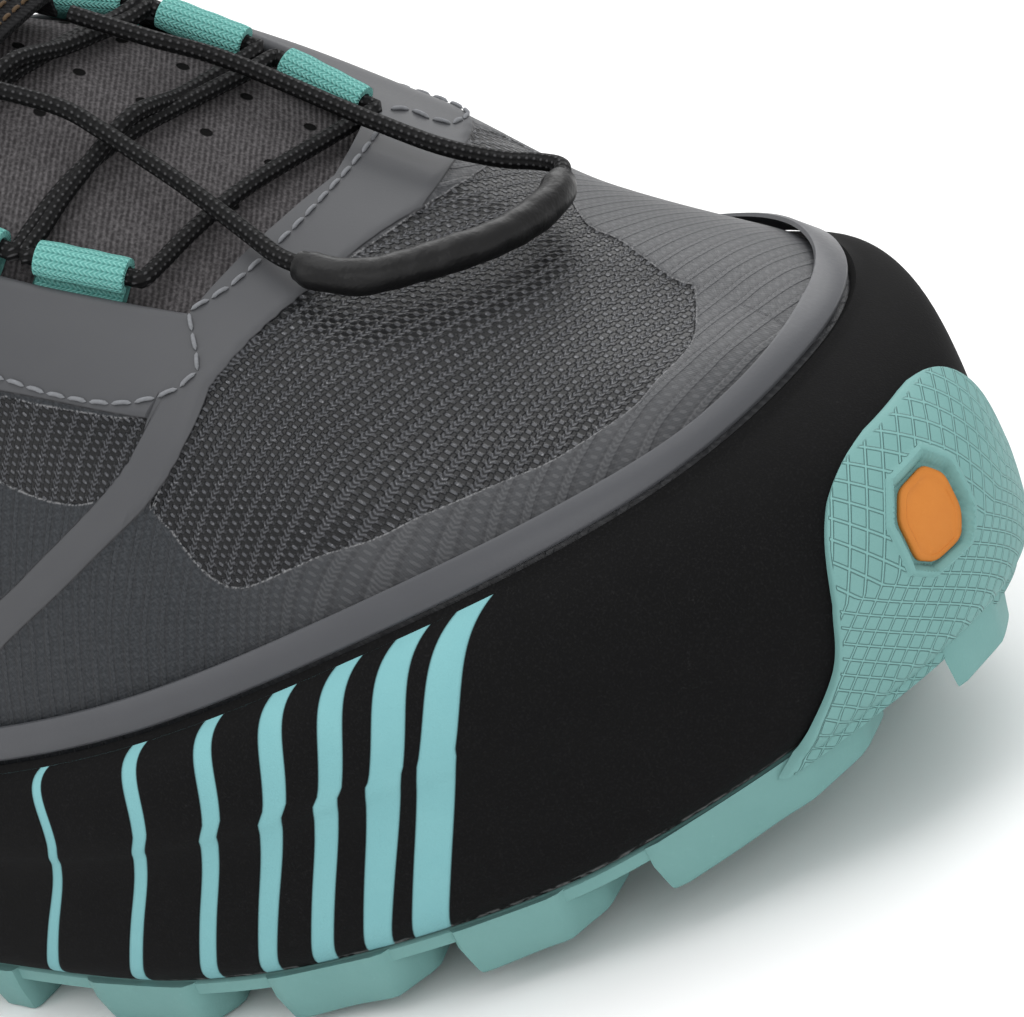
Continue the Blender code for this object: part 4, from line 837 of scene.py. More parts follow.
def upper_look():
    look = Look("mesh and film", (0.06, 0.06, 0.065), 0.5)
    x, y, _ = look.place()
    across = look.value("across")
    toe, side, cage = look.value("toe_window"), look.value("side_window"), look.value("cage")
    bare = toe.most(side)
    bare_mask, cage_mask = bare.ramp(-0.10, 0.12), cage.ramp(-0.10, 0.10)
    bare_only = bare_mask * (1 - cage_mask)
    relief, rope, groove = knit(look, across, x, y)
    grain = look.noise(0.35, 2.0)
    sheen_patch = look.noise(14.0, 2.0)
    # Painted shade: the mesh is near black in its holes and hollows and lighter on its raised loops.
    mesh = look.mix(relief.ramp(0.30, 0.90), (0.0040, 0.0044, 0.0052), (0.052, 0.054, 0.060))
    # Painted highlights: pale specks of grain on the tops of the raised loops.
    mesh = look.mix(grain.ramp(0.55, 0.75) * relief.ramp(0.5, 1.0) * 0.55, mesh, (0.24, 0.24, 0.25))
    # Painted shade in the grooves beside the ropes.
    mesh = look.mix(groove * 0.75, mesh, (0.0035, 0.0038, 0.0045))
    # Share toward the toe: it carries the film's painted reflection and sheen.
    forward = (x + y * 0.35).ramp(52.0, 84.0)
    weave = (x * (TURN / 0.55)).sin() * (across * (TURN / 0.55)).sin() * 0.5 + 0.5
    # Painted reflection: the film goes from dark blue on the side to lighter grey toward the toe and the top,
    # where the light from above reflects.
    film = look.mix(forward, (0.0080, 0.0102, 0.0128), (0.040, 0.041, 0.044))
    threads = (grain.ramp(0.35, 0.70) * 0.45 + weave * 0.20) * (1 - forward * 0.35)
    film = look.mix(threads, film, (0.036, 0.040, 0.046))
    # Painted highlight on the film over the raised loops, stronger toward the toe.
    film = look.mix(relief.ramp(0.45, 0.95) * (forward * 0.24 + 0.08), film, (0.105, 0.107, 0.112))
    # Painted shade in the grooves beside the ropes.
    film = look.mix(groove * 0.40, film, (0.012, 0.012, 0.014))
    # Painted sheen: soft paler patches on the film, growing toward the toe.
    film = look.mix(sheen_patch.ramp(0.45, 0.75) * 0.16 * forward, film, (0.095, 0.096, 0.100))
    fray = bare.abs().ramp(0.34, 0.08) * grain.ramp(0.40, 0.62)
    film = look.mix(fray * 0.75, film, (0.20, 0.20, 0.205))
    cloud = look.noise(5.0, 2.0).ramp(0.3, 0.8) * 0.25
    opaque = look.mix(cloud, (0.0560, 0.0575, 0.0620), (0.063, 0.065, 0.069))
    cover = look.mix(cage_mask, film, opaque)
    edge = cage.abs().ramp(0.22, 0.02) * 0.7
    cover = look.mix(edge, cover, (0.022, 0.022, 0.024))
    look.set("Base Color", look.mix(bare_only, cover, mesh))
    look.set("Roughness", bare_only * 0.30 + (1 - bare_only) * (0.44 - forward * 0.04) + grain * 0.10)
    film_relief = (1 - bare_mask).most(cage_mask) * 0.30 + cage_mask * 0.16
    fine = grain * 0.030 * (1 - cage_mask * 0.75) + weave * 0.018 * (1 - cage_mask) * (1 - bare_mask)
    look.bump(relief * 0.26 * bare_only + film_relief + fine + rope * 0.10 * (1 - cage_mask), 0.9)
    look.set("Specular IOR Level", 0.22)
    return look.material


def plain_cloth(name, colour, light, pitch=0.55):
    """Fine ribbed knit: threads by two crossed waves, with painted highlights on their tops."""
    look = Look(name, colour, 0.85, Specular_IOR_Level=0.10)
    x, y, z = look.place()
    warp = ((x + z * 0.6) * (TURN / pitch)).sin()
    weft = ((y + z * 0.35) * (TURN / pitch)).sin()
    relief = warp * weft * 0.5 + 0.5
    # Painted highlights on the thread tops, broken up by noise.
    look.set("Base Color", look.mix(relief * look.noise(0.5).ramp(0.2, 0.8), colour, light))
    look.bump(relief * 0.10 + look.noise(0.8) * 0.05)
    return look.material


HOLE_AT, HOLE_PITCH = (53.3, 11.1), (7.2, 9.1)


def tongue_look():
    """Ribbed knit with a lattice of small holes."""
    look = Look("tongue knit", (0.06, 0.055, 0.058), 0.88, Specular_IOR_Level=0.12)
    x, y, z = look.place()
    from_row, from_line = (x - HOLE_AT[0]).saw(HOLE_PITCH[0]), (y - HOLE_AT[1]).saw(HOLE_PITCH[1])
    hole = (from_row * from_row + from_line * from_line).power(0.5)
    ribs = ((x * 0.62 - z * 0.55 + y * 0.42 + look.noise(12.0, 1.0) * 0.8) * (TURN / 0.62)).sin() * 0.5 + 0.5
    stitch = ((y - x * 0.2) * (TURN / 0.50)).sin() * 0.5 + 0.5
    speck = look.noise(0.45, 2.0)
    relief = ribs * 0.75 + ribs * stitch * 0.25
    # Lighter on the rib tops as a painted highlight; the specks are the yarn's own speckle.
    pale = relief * 0.50 + speck.ramp(0.35, 0.75) * 0.60
    tone = look.mix(pale, (0.026, 0.024, 0.025), (0.105, 0.099, 0.102))
    # Painted shade: the lattice of holes is painted near black.
    dark = hole.ramp(0.72, 0.55) * x.ramp(22.0, 24.0) * y.ramp(-3.5, -2.5)
    look.set("Base Color", look.mix(dark, tone, (0.002, 0.002, 0.002)))
    look.bump(relief * 0.13 * (1 - dark) - dark * 0.9 + speck * 0.05)
    return look.material


def lace_look():
    """Round braid: two sets of strands wound opposite ways, crossing as raised diamonds."""
    dark, light = (0.0035, 0.0035, 0.0038), (0.050, 0.050, 0.052)
    look = Look("lace braid", dark, 0.62, Specular_IOR_Level=0.12)
    along, turn = look.uv()
    one = ((along * (TURN / 1.9)) + turn * (TURN * 4)).sin()
    two = ((along * (TURN / 1.9)) - turn * (TURN * 4)).sin()
    relief = one * two * 0.5 + 0.5
    speck = look.noise(0.4, 2.0)
    # Painted highlights on the tops of the raised diamonds, with a few random pale specks.
    look.set("Base Color", look.mix(relief.ramp(0.70, 1.0) * 0.9 + speck.ramp(0.6, 0.8) * 0.2, dark, light))
    look.bump(relief * 0.20 + speck * 0.02)
    return look.material


def sheath_look():
    """Wrinkled sleeve, glossier between its folds."""
    look = Look("sheath rubber", (0.0045, 0.0045, 0.0048), 0.40, Specular_IOR_Level=0.22)
    folds = look.noise(2.6, 3.0, 0.6)
    look.set("Roughness", folds * 0.22 + 0.30)
    look.bump(folds * 0.22 + look.noise(0.5) * 0.02)
    return look.material


def webbing_look():
    """Knitted tape: rows of small chevrons along it, two grooves with painted shade and thread tops with
    painted highlights.
    """
    look = Look("webbing", (0.14, 0.47, 0.43), 0.75, Specular_IOR_Level=0.15)
    along, turn = look.uv()
    rib = (along * (TURN / 0.62)).sin() * 0.5 + 0.5
    row = turn.saw(0.9)
    chevron = ((along + row * 1.2) * (TURN / 0.62)).sin() * 0.5 + 0.5
    groove = row.ramp(0.16, 0.02)
    speck = look.noise(0.5, 2.0)
    # Painted highlight: lighter on the tops of the chevrons and ribs.
    tone = look.mix(chevron * 0.7 + rib * 0.2, (0.075, 0.270, 0.245), (0.215, 0.500, 0.460))
    # Painted shade in the two grooves.
    tone = look.mix(groove * 0.55, tone, (0.040, 0.180, 0.165))
    look.set("Base Color", look.mix(speck.ramp(0.60, 0.80) * 0.3, tone, (0.33, 0.62, 0.58)))
    look.bump(chevron * 0.13 - groove * 0.10 + speck * 0.04)
    return look.material


def film_look():
    """Smooth welded film with a faint grain."""
    colour, roughness = (0.058, 0.060, 0.066), 0.40
    look = Look("rim film", colour, roughness, Specular_IOR_Level=0.25)
    grain = look.noise(0.6, 3.0)
    look.set("Base Color", look.mix(look.noise(8.0).ramp(0.3, 0.8) * 0.3, colour, [c * 1.18 for c in colour]))
    look.set("Roughness", grain * 0.14 + (roughness - 0.07))
    look.bump(grain * 0.022)
    return look.material


def foam_look():
    """Black foam with a velvety skin; on its lateral side a row of bars, each between two
    edges that are straight from the foot to a bend and from there to the rim."""
    look = Look("foam", (0.0052, 0.0052, 0.0055), 0.78, Specular_IOR_Level=0.06)
    around, up = look.value("around"), look.value("up")
    low_part = (up / STRIPE_BEND).least(1.0)
    high_part = ((up - STRIPE_BEND) / (1 - STRIPE_BEND)).most(0.0)
    bars = None
    for stripe in STRIPES:
        left, right = (low_part * (bend - low) + high_part * (top - bend) + low
                       for top, bend, low in zip(*stripe))
        bar = (around - left).least(right - around)
        bars = bar if bars is None else bars.most(bar)
    paint = bars.ramp(-0.0004, 0.0004) * up.ramp(-0.01, 0.01)
    pores = look.noise(0.28, 2.0)
    cloud = look.noise(6.0, 3.0)
    pale = pores.ramp(0.45, 0.80) * 0.5 + cloud * 0.12
    black = look.mix(pale, (0.0040, 0.0040, 0.0042), (0.0130, 0.0130, 0.0134))
    scuff = look.noise(3.0, 4.0, 0.7).ramp(0.62, 0.74) * pores.ramp(0.5, 0.7)
    black = look.mix(scuff * 0.16, black, (0.060, 0.060, 0.060))
    glue = up.ramp(0.026, 0.010) * look.noise(1.2, 3.0).ramp(0.40, 0.60)
    black = look.mix(glue * 0.55, black, (0.16, 0.165, 0.165))
    teal = look.mix(cloud.ramp(0.3, 0.8) * 0.4, (0.165, 0.365, 0.385), (0.190, 0.400, 0.415))
    look.set("Base Color", look.mix(paint, black, teal))
    look.set("Roughness", paint * -0.14 + pores * 0.10 + 0.72)
    look.bump(pores * 0.045 + cloud * 0.05 + paint * 0.10 - bars.abs().ramp(0.0012, 0.0) * 0.10)
    return look.material


LATTICE = 2.1


def rubber_look(name, colour=(0.125, 0.262, 0.250), light=(0.155, 0.305, 0.292), lattice=False):
    """Dusty rubber; with the lattice, two families of raised lines cross on it as diamonds."""
    look = Look(name, colour, 0.62, Specular_IOR_Level=0.18)
    cloud, grain = look.noise(7.0, 4.0), look.noise(0.35, 2.0)
    dust = look.noise(2.2, 5.0, 0.7).ramp(0.60, 0.78)
    tone = look.mix(cloud, colour, light)
    tone = look.mix(dust * 0.25, tone, [c * 1.35 for c in light])
    relief = grain * 0.030 + cloud * 0.08
    if lattice:
        u, w, shown = look.value("round"), look.value("rise"), look.value("shown")
        lines = [(u * 0.80 + w * (0.62 * sign)).saw(LATTICE).ramp(0.26, 0.08) for sign in (-1, 1)]
        ridge = lines[0].most(lines[1]) * shown.ramp(0.4, 0.6)
        # Painted highlight: the raised lattice lines are painted lighter than the rubber between them.
        tone = look.mix(ridge * 0.30, tone, [c * 1.30 for c in light])
        relief = relief + ridge * 0.34
    look.set("Base Color", tone)
    look.set("Roughness", grain * 0.16 + 0.50)
    look.bump(relief)
    return look.material


def thread_look(name, colour):
    look = Look(name, colour, 0.70, Specular_IOR_Level=0.15)
    grain = look.noise(0.5, 3.0)
    look.set("Base Color", look.mix(grain.ramp(0.3, 0.8) * 0.5, colour, [c * 1.5 for c in colour]))
    look.bump(grain * 0.05)
    return look.material


MESH_AND_FILM = upper_look()
LINING = plain_cloth("lining", (0.008, 0.008, 0.009), (0.030, 0.030, 0.032))
TONGUE_KNIT = tongue_look()
BRAID = lace_look()
SHEATH_RUBBER = sheath_look()
WEBBING = webbing_look()
RIM_FILM = film_look()
FOAM = foam_look()
OUTSOLE_RUBBER = rubber_look("outsole rubber")
BUMPER_RUBBER = rubber_look("bumper rubber", lattice=True)
INSET_RUBBER = rubber_look("inset rubber", (0.42, 0.135, 0.020), (0.50, 0.185, 0.035))
THREAD = thread_look("sewing thread", (0.150, 0.155, 0.165))
BROWN_THREAD = thread_look("brown thread", (0.060, 0.038, 0.020))
POCKET_CLOTH = plain_cloth("pocket cloth", (0.0045, 0.0045, 0.005), (0.018, 0.018, 0.019), 0.8)
FOOTBED = plain_cloth("footbed cloth", (0.010, 0.010, 0.011), (0.036, 0.036, 0.038), 0.7)


# Upper.

def stations(first, last, count, *marks):
    """Even stations, with the named ones among them."""
    return np.unique(np.round(np.concatenate([np.linspace(first, last, count), marks]), 6))


def round_columns(t):
    """Stations from the heel to the toe on the lateral side, then back on the medial side."""
    return np.concatenate([-np.ones(len(t)), np.ones(len(t) - 2)]), np.concatenate([t, t[-2:0:-1]])


def from_rim(side, t, distance):
    """Height that lies a distance up the skin from the rim."""
    vs = np.linspace(RIM_V, 0.6, 61)
    along = distances(skin(side[None], t[None], vs.reshape((-1,) + (1,) * t.ndim)))
    k = np.clip((along < distance).sum(axis=0), 1, len(vs) - 1)[None]
    low, high = np.take_along_axis(along, k - 1, 0)[0], np.take_along_axis(along, k, 0)[0]
    return vs[k[0] - 1] + (vs[1] - vs[0]) * (distance - low) / (high - low)


def make_upper():
    """Shell between the skin and its wall's depth: up the outside, over a rolled edge
    (v + r sin a, r cos a - r), and down the inside; closed along the ridge in front of the throat."""
    t = np.unique(np.concatenate([stations(0, 0.43, 62, 0), stations(0.438, 1, 205, CORNER, FRONT)]))
    side, t = round_columns(t)
    cut = edge_v(side, t)
    ridge = t >= FRONT - 1e-6
    radius = -full_wall(t, cut) / 2
    roll = np.where(ridge, 0.0, smooth((FRONT - t) / 0.008)) * v_step(side, t, np.minimum(cut, 0.97), radius)
    top = np.where(ridge, 1.0, cut - roll)
    below = np.linspace(0, RIM_V, 4)[:-1, None] + 0 * t
    rise = np.linspace(0, 1, 92)[:, None]
    outer = np.concatenate([below, RIM_V + (top - RIM_V) * rise])
    angle = np.linspace(0, math.pi, 7)[1:-1, None]
    bend = top + roll * np.sin(angle)
    inner = outer[::-5]
    rows = len(outer), len(outer) + len(bend)
    v = np.concatenate([outer, bend, inner])
    far = np.concatenate([0 * outer, radius * (np.cos(angle) - 1), full_wall(t + 0 * inner, inner)])
    sides, ts = np.broadcast_to(side, v.shape), np.broadcast_to(t, v.shape)
    film = np.zeros_like(v)
    shown = slice(0, rows[1])
    flat = skin(sides[shown], ts[shown], v[shown])
    throat = [(-1, a, b) for a, b, _ in THROAT_BORDER] + [(1, a, c) for a, _, c in THROAT_BORDER[::-1]]
    outlines = {"toe_window": TOE_WINDOW, "side_window": SIDE_WINDOW, "throat": throat, "band": CAGE_BAND}
    zones = {key: np.full(v.shape, -9.0) for key in outlines}
    for key, route in outlines.items():
        zones[key][shown] = signed_distance(flat, sides[shown], ts[shown], v[shown], route)
    zones["cage"] = np.maximum(zones.pop("throat"), zones.pop("band"))
    bare = np.maximum(zones["toe_window"], zones["side_window"])
    film[shown] = 0.00035 * np.where(zones["cage"] > -9, smooth(zones["cage"] / 0.7 + 0.5), 0)[shown]
    film[shown] -= 0.00025 * smooth(bare / 0.5 + 0.5)[shown] * (zones["cage"][shown] < 0)
    points = off_skin(sides, ts, v, far + film)
    _, y, z = np.moveaxis(points / MM, -1, 0)
    marks = np.linspace(RIDGE_FROM, POLE_FROM, 200)
    ridge_t = np.interp(points[..., 0], top_line(marks)[0], marks)
    across = y + sides * (top_line(ridge_t)[2] / MM - z)
    collar = t < COLLAR_END

    def keep(quad):
        row, col = quad[..., 0], quad[..., 1] % len(t)
        rolled = (row[:, 0] >= rows[0] - 1) & (row[:, 0] < rows[1])
        return ~(rolled & ridge[col].all(1))

    def zone(quad):
        row, col = quad[:, 0, 0], quad[:, 0, 1] % len(t)
        return ((row >= rows[1] - 1) | ((row >= rows[0] - 3) & collar[col])).astype(int)

    piece("upper_shell", points, [MESH_AND_FILM, LINING], ("upper", "eyestay"), (True, True),
          keep, values={**zones, "across": across}, zone=zone)


def make_strip():
    """Closed band round the shoe: a small profile of (distance up from the rim, distance off the skin)."""
    low, high, inner, outer = 2 * GAP, STRIP_HEIGHT, FILM_GAP + GAP, FILM_GAP + GAP + FILM
    profile = [(low, inner), (low + 0.0001, outer - 0.0002), (low + 0.0004, outer), (high - 0.0005, outer),
               (high - 0.0001, outer - 0.0002), (high, inner)]
    side, t = round_columns(stations(0, 1, 300))
    v = np.stack([from_rim(side, t, up) for up, _ in profile])
    out = np.array([off for _, off in profile])[:, None]
    piece("rim_film", off_skin(side, t, v, out), RIM_FILM, ("rim_strip",), (True, True))


def make_counter():
    """Shield round the heel: a pillow over (station, height), 1 mm thick."""
    reach = 0.17
    shape = [(0.0, 0.70), (0.06, 0.68), (0.12, 0.56), (reach, 0.38)]

    def sheet(distance):
        def at(s, c):
            side, t = side_of(c), reach * np.abs(c)
            low = from_rim(side, t, STRIP_HEIGHT + 2 * GAP)
            v = low + (table(shape, t)[..., 0] - low) * (s + 1) / 2
            return off_skin(side, t, v, distance)
        return at

    grid = pillow(sheet(FILM_GAP + COUNTER), sheet(FILM_GAP), 30, 91, 12)
    piece("heel_shield", grid, RIM_FILM, ("heel_counter",))


def make_tongue():
    """Pillow over the instep: s from its first station to its last, c from side to side over the ridge."""
    def sheet(distance):
        def at(s, c):
            side, t = side_of(c), RIDGE_FROM + (TONGUE_FRONT - RIDGE_FROM) * (s + 1) / 2
            cut = opening_v(side, t)
            low = cut - v_step(side, t, cut, TONGUE_UNDER)
            return off_skin(side, t, 1 - (1 - low) * np.abs(c), distance)
        return at

    grid = pillow(sheet(TONGUE_TOP), sheet(TONGUE_TOP - TONGUE), 110, 61, 10)
    piece("tongue_knit", grid, TONGUE_KNIT, ("tongue",))


# Sole.

def foot_line(side, t, drop, inset=0.0):
    """Ring round the foot of the foam's side, moved up by drop and in by inset."""
    edge = SOLE.at(side, t) - (TUCK + inset) * SOLE.outward(side, t)
    return np.concatenate([edge, (foot(edge[..., 0]) + drop)[..., None]], -1)


def shut(ring, height):
    """Rows from a ring of columns in to its middle line, where the columns of both sides meet."""
    mate = np.roll(ring[::-1], 1, axis=0)
    middle = (ring + mate) / 2
    rows = []
    for s in (0.25, 0.5, 0.75, 1.0):
        row = ring * (1 - s) + middle * s
        row[:, 2] = ring[:, 2] * (1 - s) ** 2 + height(row[:, 0]) * (1 - (1 - s) ** 2)
        rows.append(row)
    return rows


def make_midsole():
    """Cup sole: up its side wall, round the lip, down inside the cup and in over its floor."""
    side, t = round_columns(stations(0, 1, 261))
    h = np.concatenate([[0.0, 0.012, 0.03], np.linspace(0.06, 1, 60)])
    wall = side_wall(side, t, h[:, None])
    start = foot_line(side, t, 0.0)
    wall[0] = start + (wall[0] - start) * 0.5
    cup = off_skin(side, t, np.linspace(RIM_V, 0, 9)[:, None], GAP)
    over = (wall[-1] + cup[0]) / 2 + np.array([0, 0, 0.35 * LIP])
    sunk = cup[-1].copy()
    sunk[:, 2] = floor(sunk[:, 0])
    base = shut(start, foot)[::-1]
    grid = np.array([*base, start, *wall, over, *cup, sunk, *shut(sunk, floor)])
    first = len(base) + 1
    up = np.ones(grid.shape[:2])
    around = np.full(grid.shape[:2], 9.0)
    up[:first] = 0
    up[first:first + len(h)] = h[:, None]
    around[first - 1:first + len(h)] = side * (1 - t)
    piece("cup_sole", grid, FOAM, ("midsole",), values={"up": up, "around": around})


def make_plate():
    side, t = round_columns(stations(0, 1, 201))
    top, high = foot_line(side, t, -GAP, 0.0004), foot_line(side, t, -2 * GAP)
    low, bottom = foot_line(side, t, GAP - PLATE), foot_line(side, t, -PLATE, 0.0006)
    over, under = shut(top, lambda x: foot(x) - GAP)[::-1], shut(bottom, lambda x: foot(x) - PLATE)
    grid = np.array([*over, top, high, low, bottom, *under])
    piece("outsole_plate", grid, OUTSOLE_RUBBER, ("outsole",))


def edge_at(side, x):
    """Half width of the foam's foot at a place along the shoe."""
    t = np.linspace(0, 1, 1200)
    line = SOLE.at(side, t) - TUCK * SOLE.outward(side, t)
    return np.abs(np.interp(x, line[:, 0], line[:, 1]))


def rounded(outline, count=44, corner=0.0011):
    """Even points round a polygon whose corners are cut back and curved (quadratic Bezier)."""
    p = np.array(outline, float)
    before, after = np.roll(p, 1, axis=0) - p, np.roll(p, -1, axis=0) - p
    a = p + before * (corner / np.linalg.norm(before, axis=1, keepdims=True))
    b = p + after * (corner / np.linalg.norm(after, axis=1, keepdims=True))
    w = np.linspace(0, 1, 6)[None, :, None]
    line = ((1 - w) ** 2 * a[:, None] + 2 * w * (1 - w) * p[:, None] + w ** 2 * b[:, None]).reshape(-1, 2)
    line = np.vstack([line, line[:1]])
    along = distances(line)
    return read_line(np.linspace(0, along[-1], count, endpoint=False), along, line)


# Lugs of the lateral edge's front part, from and to in metres along the shoe; behind them the pitch is even.
EDGE_LUGS = [(0.0149, 0.0241), (0.0328, 0.0560), (0.0615, 0.0839), (0.0868, 0.1040), (0.1083, 0.1309)]
EDGE_LUGS_FROM = -0.024
# Shares of LENGTH between which the waist has no lugs, on the medial edge and in the middle.
MEDIAL_WAIST, INNER_WAIST = (0.34, 0.44), (0.31, 0.44)


def edge_lug(side, a, b):
    """Outline of a lug on the edge, from a to b along the shoe."""
    length = b - a
    at = [a, a + 0.14 * length, b - 0.14 * length, b]
    edge = [float(edge_at(side, x)) for x in at]
    deep = min(LUG_WIDTH, 0.8 * edge[1])
    return [(at[0], side * (edge[0] - 0.35 * deep)), (at[1], side * (edge[1] + LUG_PROUD)),
            (at[2], side * (edge[2] + LUG_PROUD)), (at[3], side * (edge[3] - 0.35 * deep)),
            (b - 0.12 * length, side * (edge[3] - deep)), (a + 0.12 * length, side * (edge[0] - deep))]


def lug_outlines():
    """Outlines of the lugs from above: both edges, then arrowheads in the middle."""
    front, rear = (0.955 - 0.5) * LENGTH, (0.075 - 0.5) * LENGTH
    count = int((front - rear) / LUG_PITCH)
    start = front - count * LUG_PITCH - 0.0015
    middles = [start + k * LUG_PITCH for k in range(count + 1)]
    even = [(x - LUG_LENGTH / 2, x + LUG_LENGTH / 2) for x in middles]
    lateral = [s for s in even if s[1] < EDGE_LUGS_FROM] + EDGE_LUGS
    medial = [s for s in even if not MEDIAL_WAIST[0] < share((s[0] + s[1]) / 2) < MEDIAL_WAIST[1]]
    outlines = [edge_lug(-1, *s) for s in lateral] + [edge_lug(1, *s) for s in medial]
    x = start + LUG_PITCH / 2
    while x < front - LUG_PITCH / 2:
        place = float(share(x))
        room = float(min(edge_at(-1, x), edge_at(1, x))) - LUG_WIDTH - 0.002
        point, r = (1 if place > 0.4 else -1), INNER_LUG / 2
        if not INNER_WAIST[0] < place < INNER_WAIST[1] and room > 0.45 * INNER_LUG:
            for lane in ([-0.5, 0.5] if room > 1.15 * INNER_LUG else [0.0]):
                y = lane * 1.45 * INNER_LUG
                arrow = [(-0.7, -1), (0.2, -1), (1, 0), (0.2, 1), (-0.7, 1), (-0.1, 0)]
                outlines.append([(x + point * a * r, y + b * r) for a, b in arrow])
        x += LUG_PITCH * 0.72
    return outlines


def make_lugs():
    """Each lug is its rounded outline carried down to the ground, drawn in by its draft and rounded edge."""
    # Share of the drop to the ground, share of LUG_DRAFT, share of the outline's size.
    profile = [(-0.4, 0, 0.02), (-0.4, 0, 1), (0.15, 0.1, 1), (0.55, 0.5, 1), (0.88, 0.85, 1),
               (0.96, 1.05, 1), (1.0, 1.35, 1), (1.0, 0, 0.55), (1.0, 0, 0.02)]
    for k, outline in enumerate(lug_outlines()):
        line = rounded(outline)
        middle = line.mean(axis=0)
        away = line - middle
        size = np.linalg.norm(away, axis=1, keepdims=True)
        rows = []
        for drop, draw, span in profile:
            at = middle + away * (1 - draw * LUG_DRAFT / size) * span
            root = foot(at[:, 0]) - PLATE
            rows.append(np.concatenate([at, (root + (ground(at[:, 0]) - root) * drop)[:, None]], -1))
        piece("lug_%02d" % (k + 1), np.array(rows), OUTSOLE_RUBBER, ("outsole",), caps=True)


def hexagon(q, h):
    """Millimetres inside the toe's hexagon, negative outside it, and metres per unit of q and of h there."""
    dq, dh = 0.005, 0.02
    steps = ((-dq, 0), (dq, 0), (0, -dh), (0, dh))
    rear, front, low, high = (toe_place(INSET_Q + a, INSET_H + b, 0.0) for a, b in steps)
    along, up = np.linalg.norm(front - rear) / (2 * dq), np.linalg.norm(high - low) / (2 * dh)
    a, b = np.abs(q - INSET_Q) * along, np.abs(h - INSET_H) * up
    corner = 0.45 * INSET_HEIGHT / 2
    slant = unit(np.array([INSET_HEIGHT / 2 - corner, INSET_SIZE / 4]))
    slope = slant[0] * (INSET_SIZE / 2 - a) + slant[1] * (corner - b)
    return np.minimum(np.minimum(INSET_SIZE / 2 - a, INSET_HEIGHT / 2 - b), slope) / MM, along, up


def make_bumper():
    """Toe cap of rubber: (q, h) grid over the foam, rounded at its border, whose face sinks to a flat pocket
    round the inset; the shader raises two families of fine lines on it as a diamond lattice."""
    rows, cols = 90, 260
    s, c = np.meshgrid(np.linspace(-1, 1, rows), np.linspace(-1, 1, cols), indexing="ij")
    r = (s + 1) / 2
    edge = table(BUMPER_EDGE, r)
    q = edge[..., 0] + (edge[..., 1] - edge[..., 0]) * (c + 1) / 2
    h = -0.05 + (BUMPER_TOP + 0.05) * r
    inside_by, along, up = hexagon(q, h)
    face = BUMPER + 0.0004 * smooth((inside_by + 1.9) / 0.5) * smooth(-(inside_by + 0.5) / 0.2)
    face -= (BUMPER - 0.0004) * smooth((inside_by + 0.9) / 0.35)

    def sheet(distance):
        place = toe_place(q, np.maximum(h, 0.015), distance)
        place[..., 2] -= np.maximum(0.015 - h, 0) * 0.028
        return place

    swell = ((1 - np.abs(s) ** 26) * (1 - np.abs(c) ** 60)) ** 0.5
    high, low = sheet(face), sheet(np.full_like(h, GAP))
    over = low + (high - low) * swell[..., None]
    margin = smooth((1 - np.abs(c)) / 0.06) * smooth((1 - r) / 0.09) * smooth(-(inside_by + 1.7) / 0.3)
    hidden = np.zeros_like(q)
    values = {"round": q * along / MM, "rise": h * up / MM, "shown": margin}
    values = {key: np.concatenate([value, hidden], 1) for key, value in values.items()}
    grid = np.concatenate([over, low[:, ::-1]], 1)
    piece("toe_bumper", grid, BUMPER_RUBBER, ("outsole",), values=values)


def make_inset():
    """Hexagon pad in the pocket: rings drawn in from its outline, rounded at the rim."""
    _, along, up = hexagon(0.0, 0.5)
    a, b = INSET_SIZE / 2, INSET_HEIGHT / 2
    corner = 0.45 * b
    outline = rounded([(-a, -corner), (-a / 2, -b), (a / 2, -b), (a, -corner), (a, corner), (a / 2, b),
                       (-a / 2, b), (-a, corner)], 64, 0.0009)
    # Share of the outline's size, share of the pad's thickness.
    profile = [(0.02, 0), (1.0, 0), (1.0, 0.55), (0.97, 0.9), (0.92, 1), (0.80, 1), (0.77, 0.8), (0.60, 0.8),
               (0.3, 0.8), (0.02, 0.8)]
    q, h = outline.T
    rows = [toe_place(INSET_Q + q * size / along, INSET_H + h * size / up, GAP + lift * INSET)
            for size, lift in profile]
    piece("toe_pad", np.array(rows), INSET_RUBBER, ("toe_inset",), caps=True)


def make_insole():
    """Footbed: two rings at its heights inside the wall, closed over their middle lines."""
    side, t = round_columns(stations(0, 1, 151))
    vs = np.linspace(0, RIM_V, 12)
    heights = skin(side, t, vs[:, None])[..., 2]
    rings = []
    for lift in (0.0, INSOLE):
        v = np.array([np.interp(z[0] + lift, z, vs) for z in heights.T])
        ring = off_skin(side, t, v, -(WALL + INSOLE_ROOM))
        ring[:, 2] = floor(ring[:, 0]) + GAP + lift
        rings.append(ring)
    low, high = rings
    under = shut(low, lambda x: floor(x) + GAP)[::-1]
    over = shut(high, lambda x: floor(x) + GAP + 0.75 * INSOLE)
    grid = np.array([*under, low, low + (high - low) * 0.8, high, *over])
    piece("footbed", grid, FOOTBED, ("insole",))


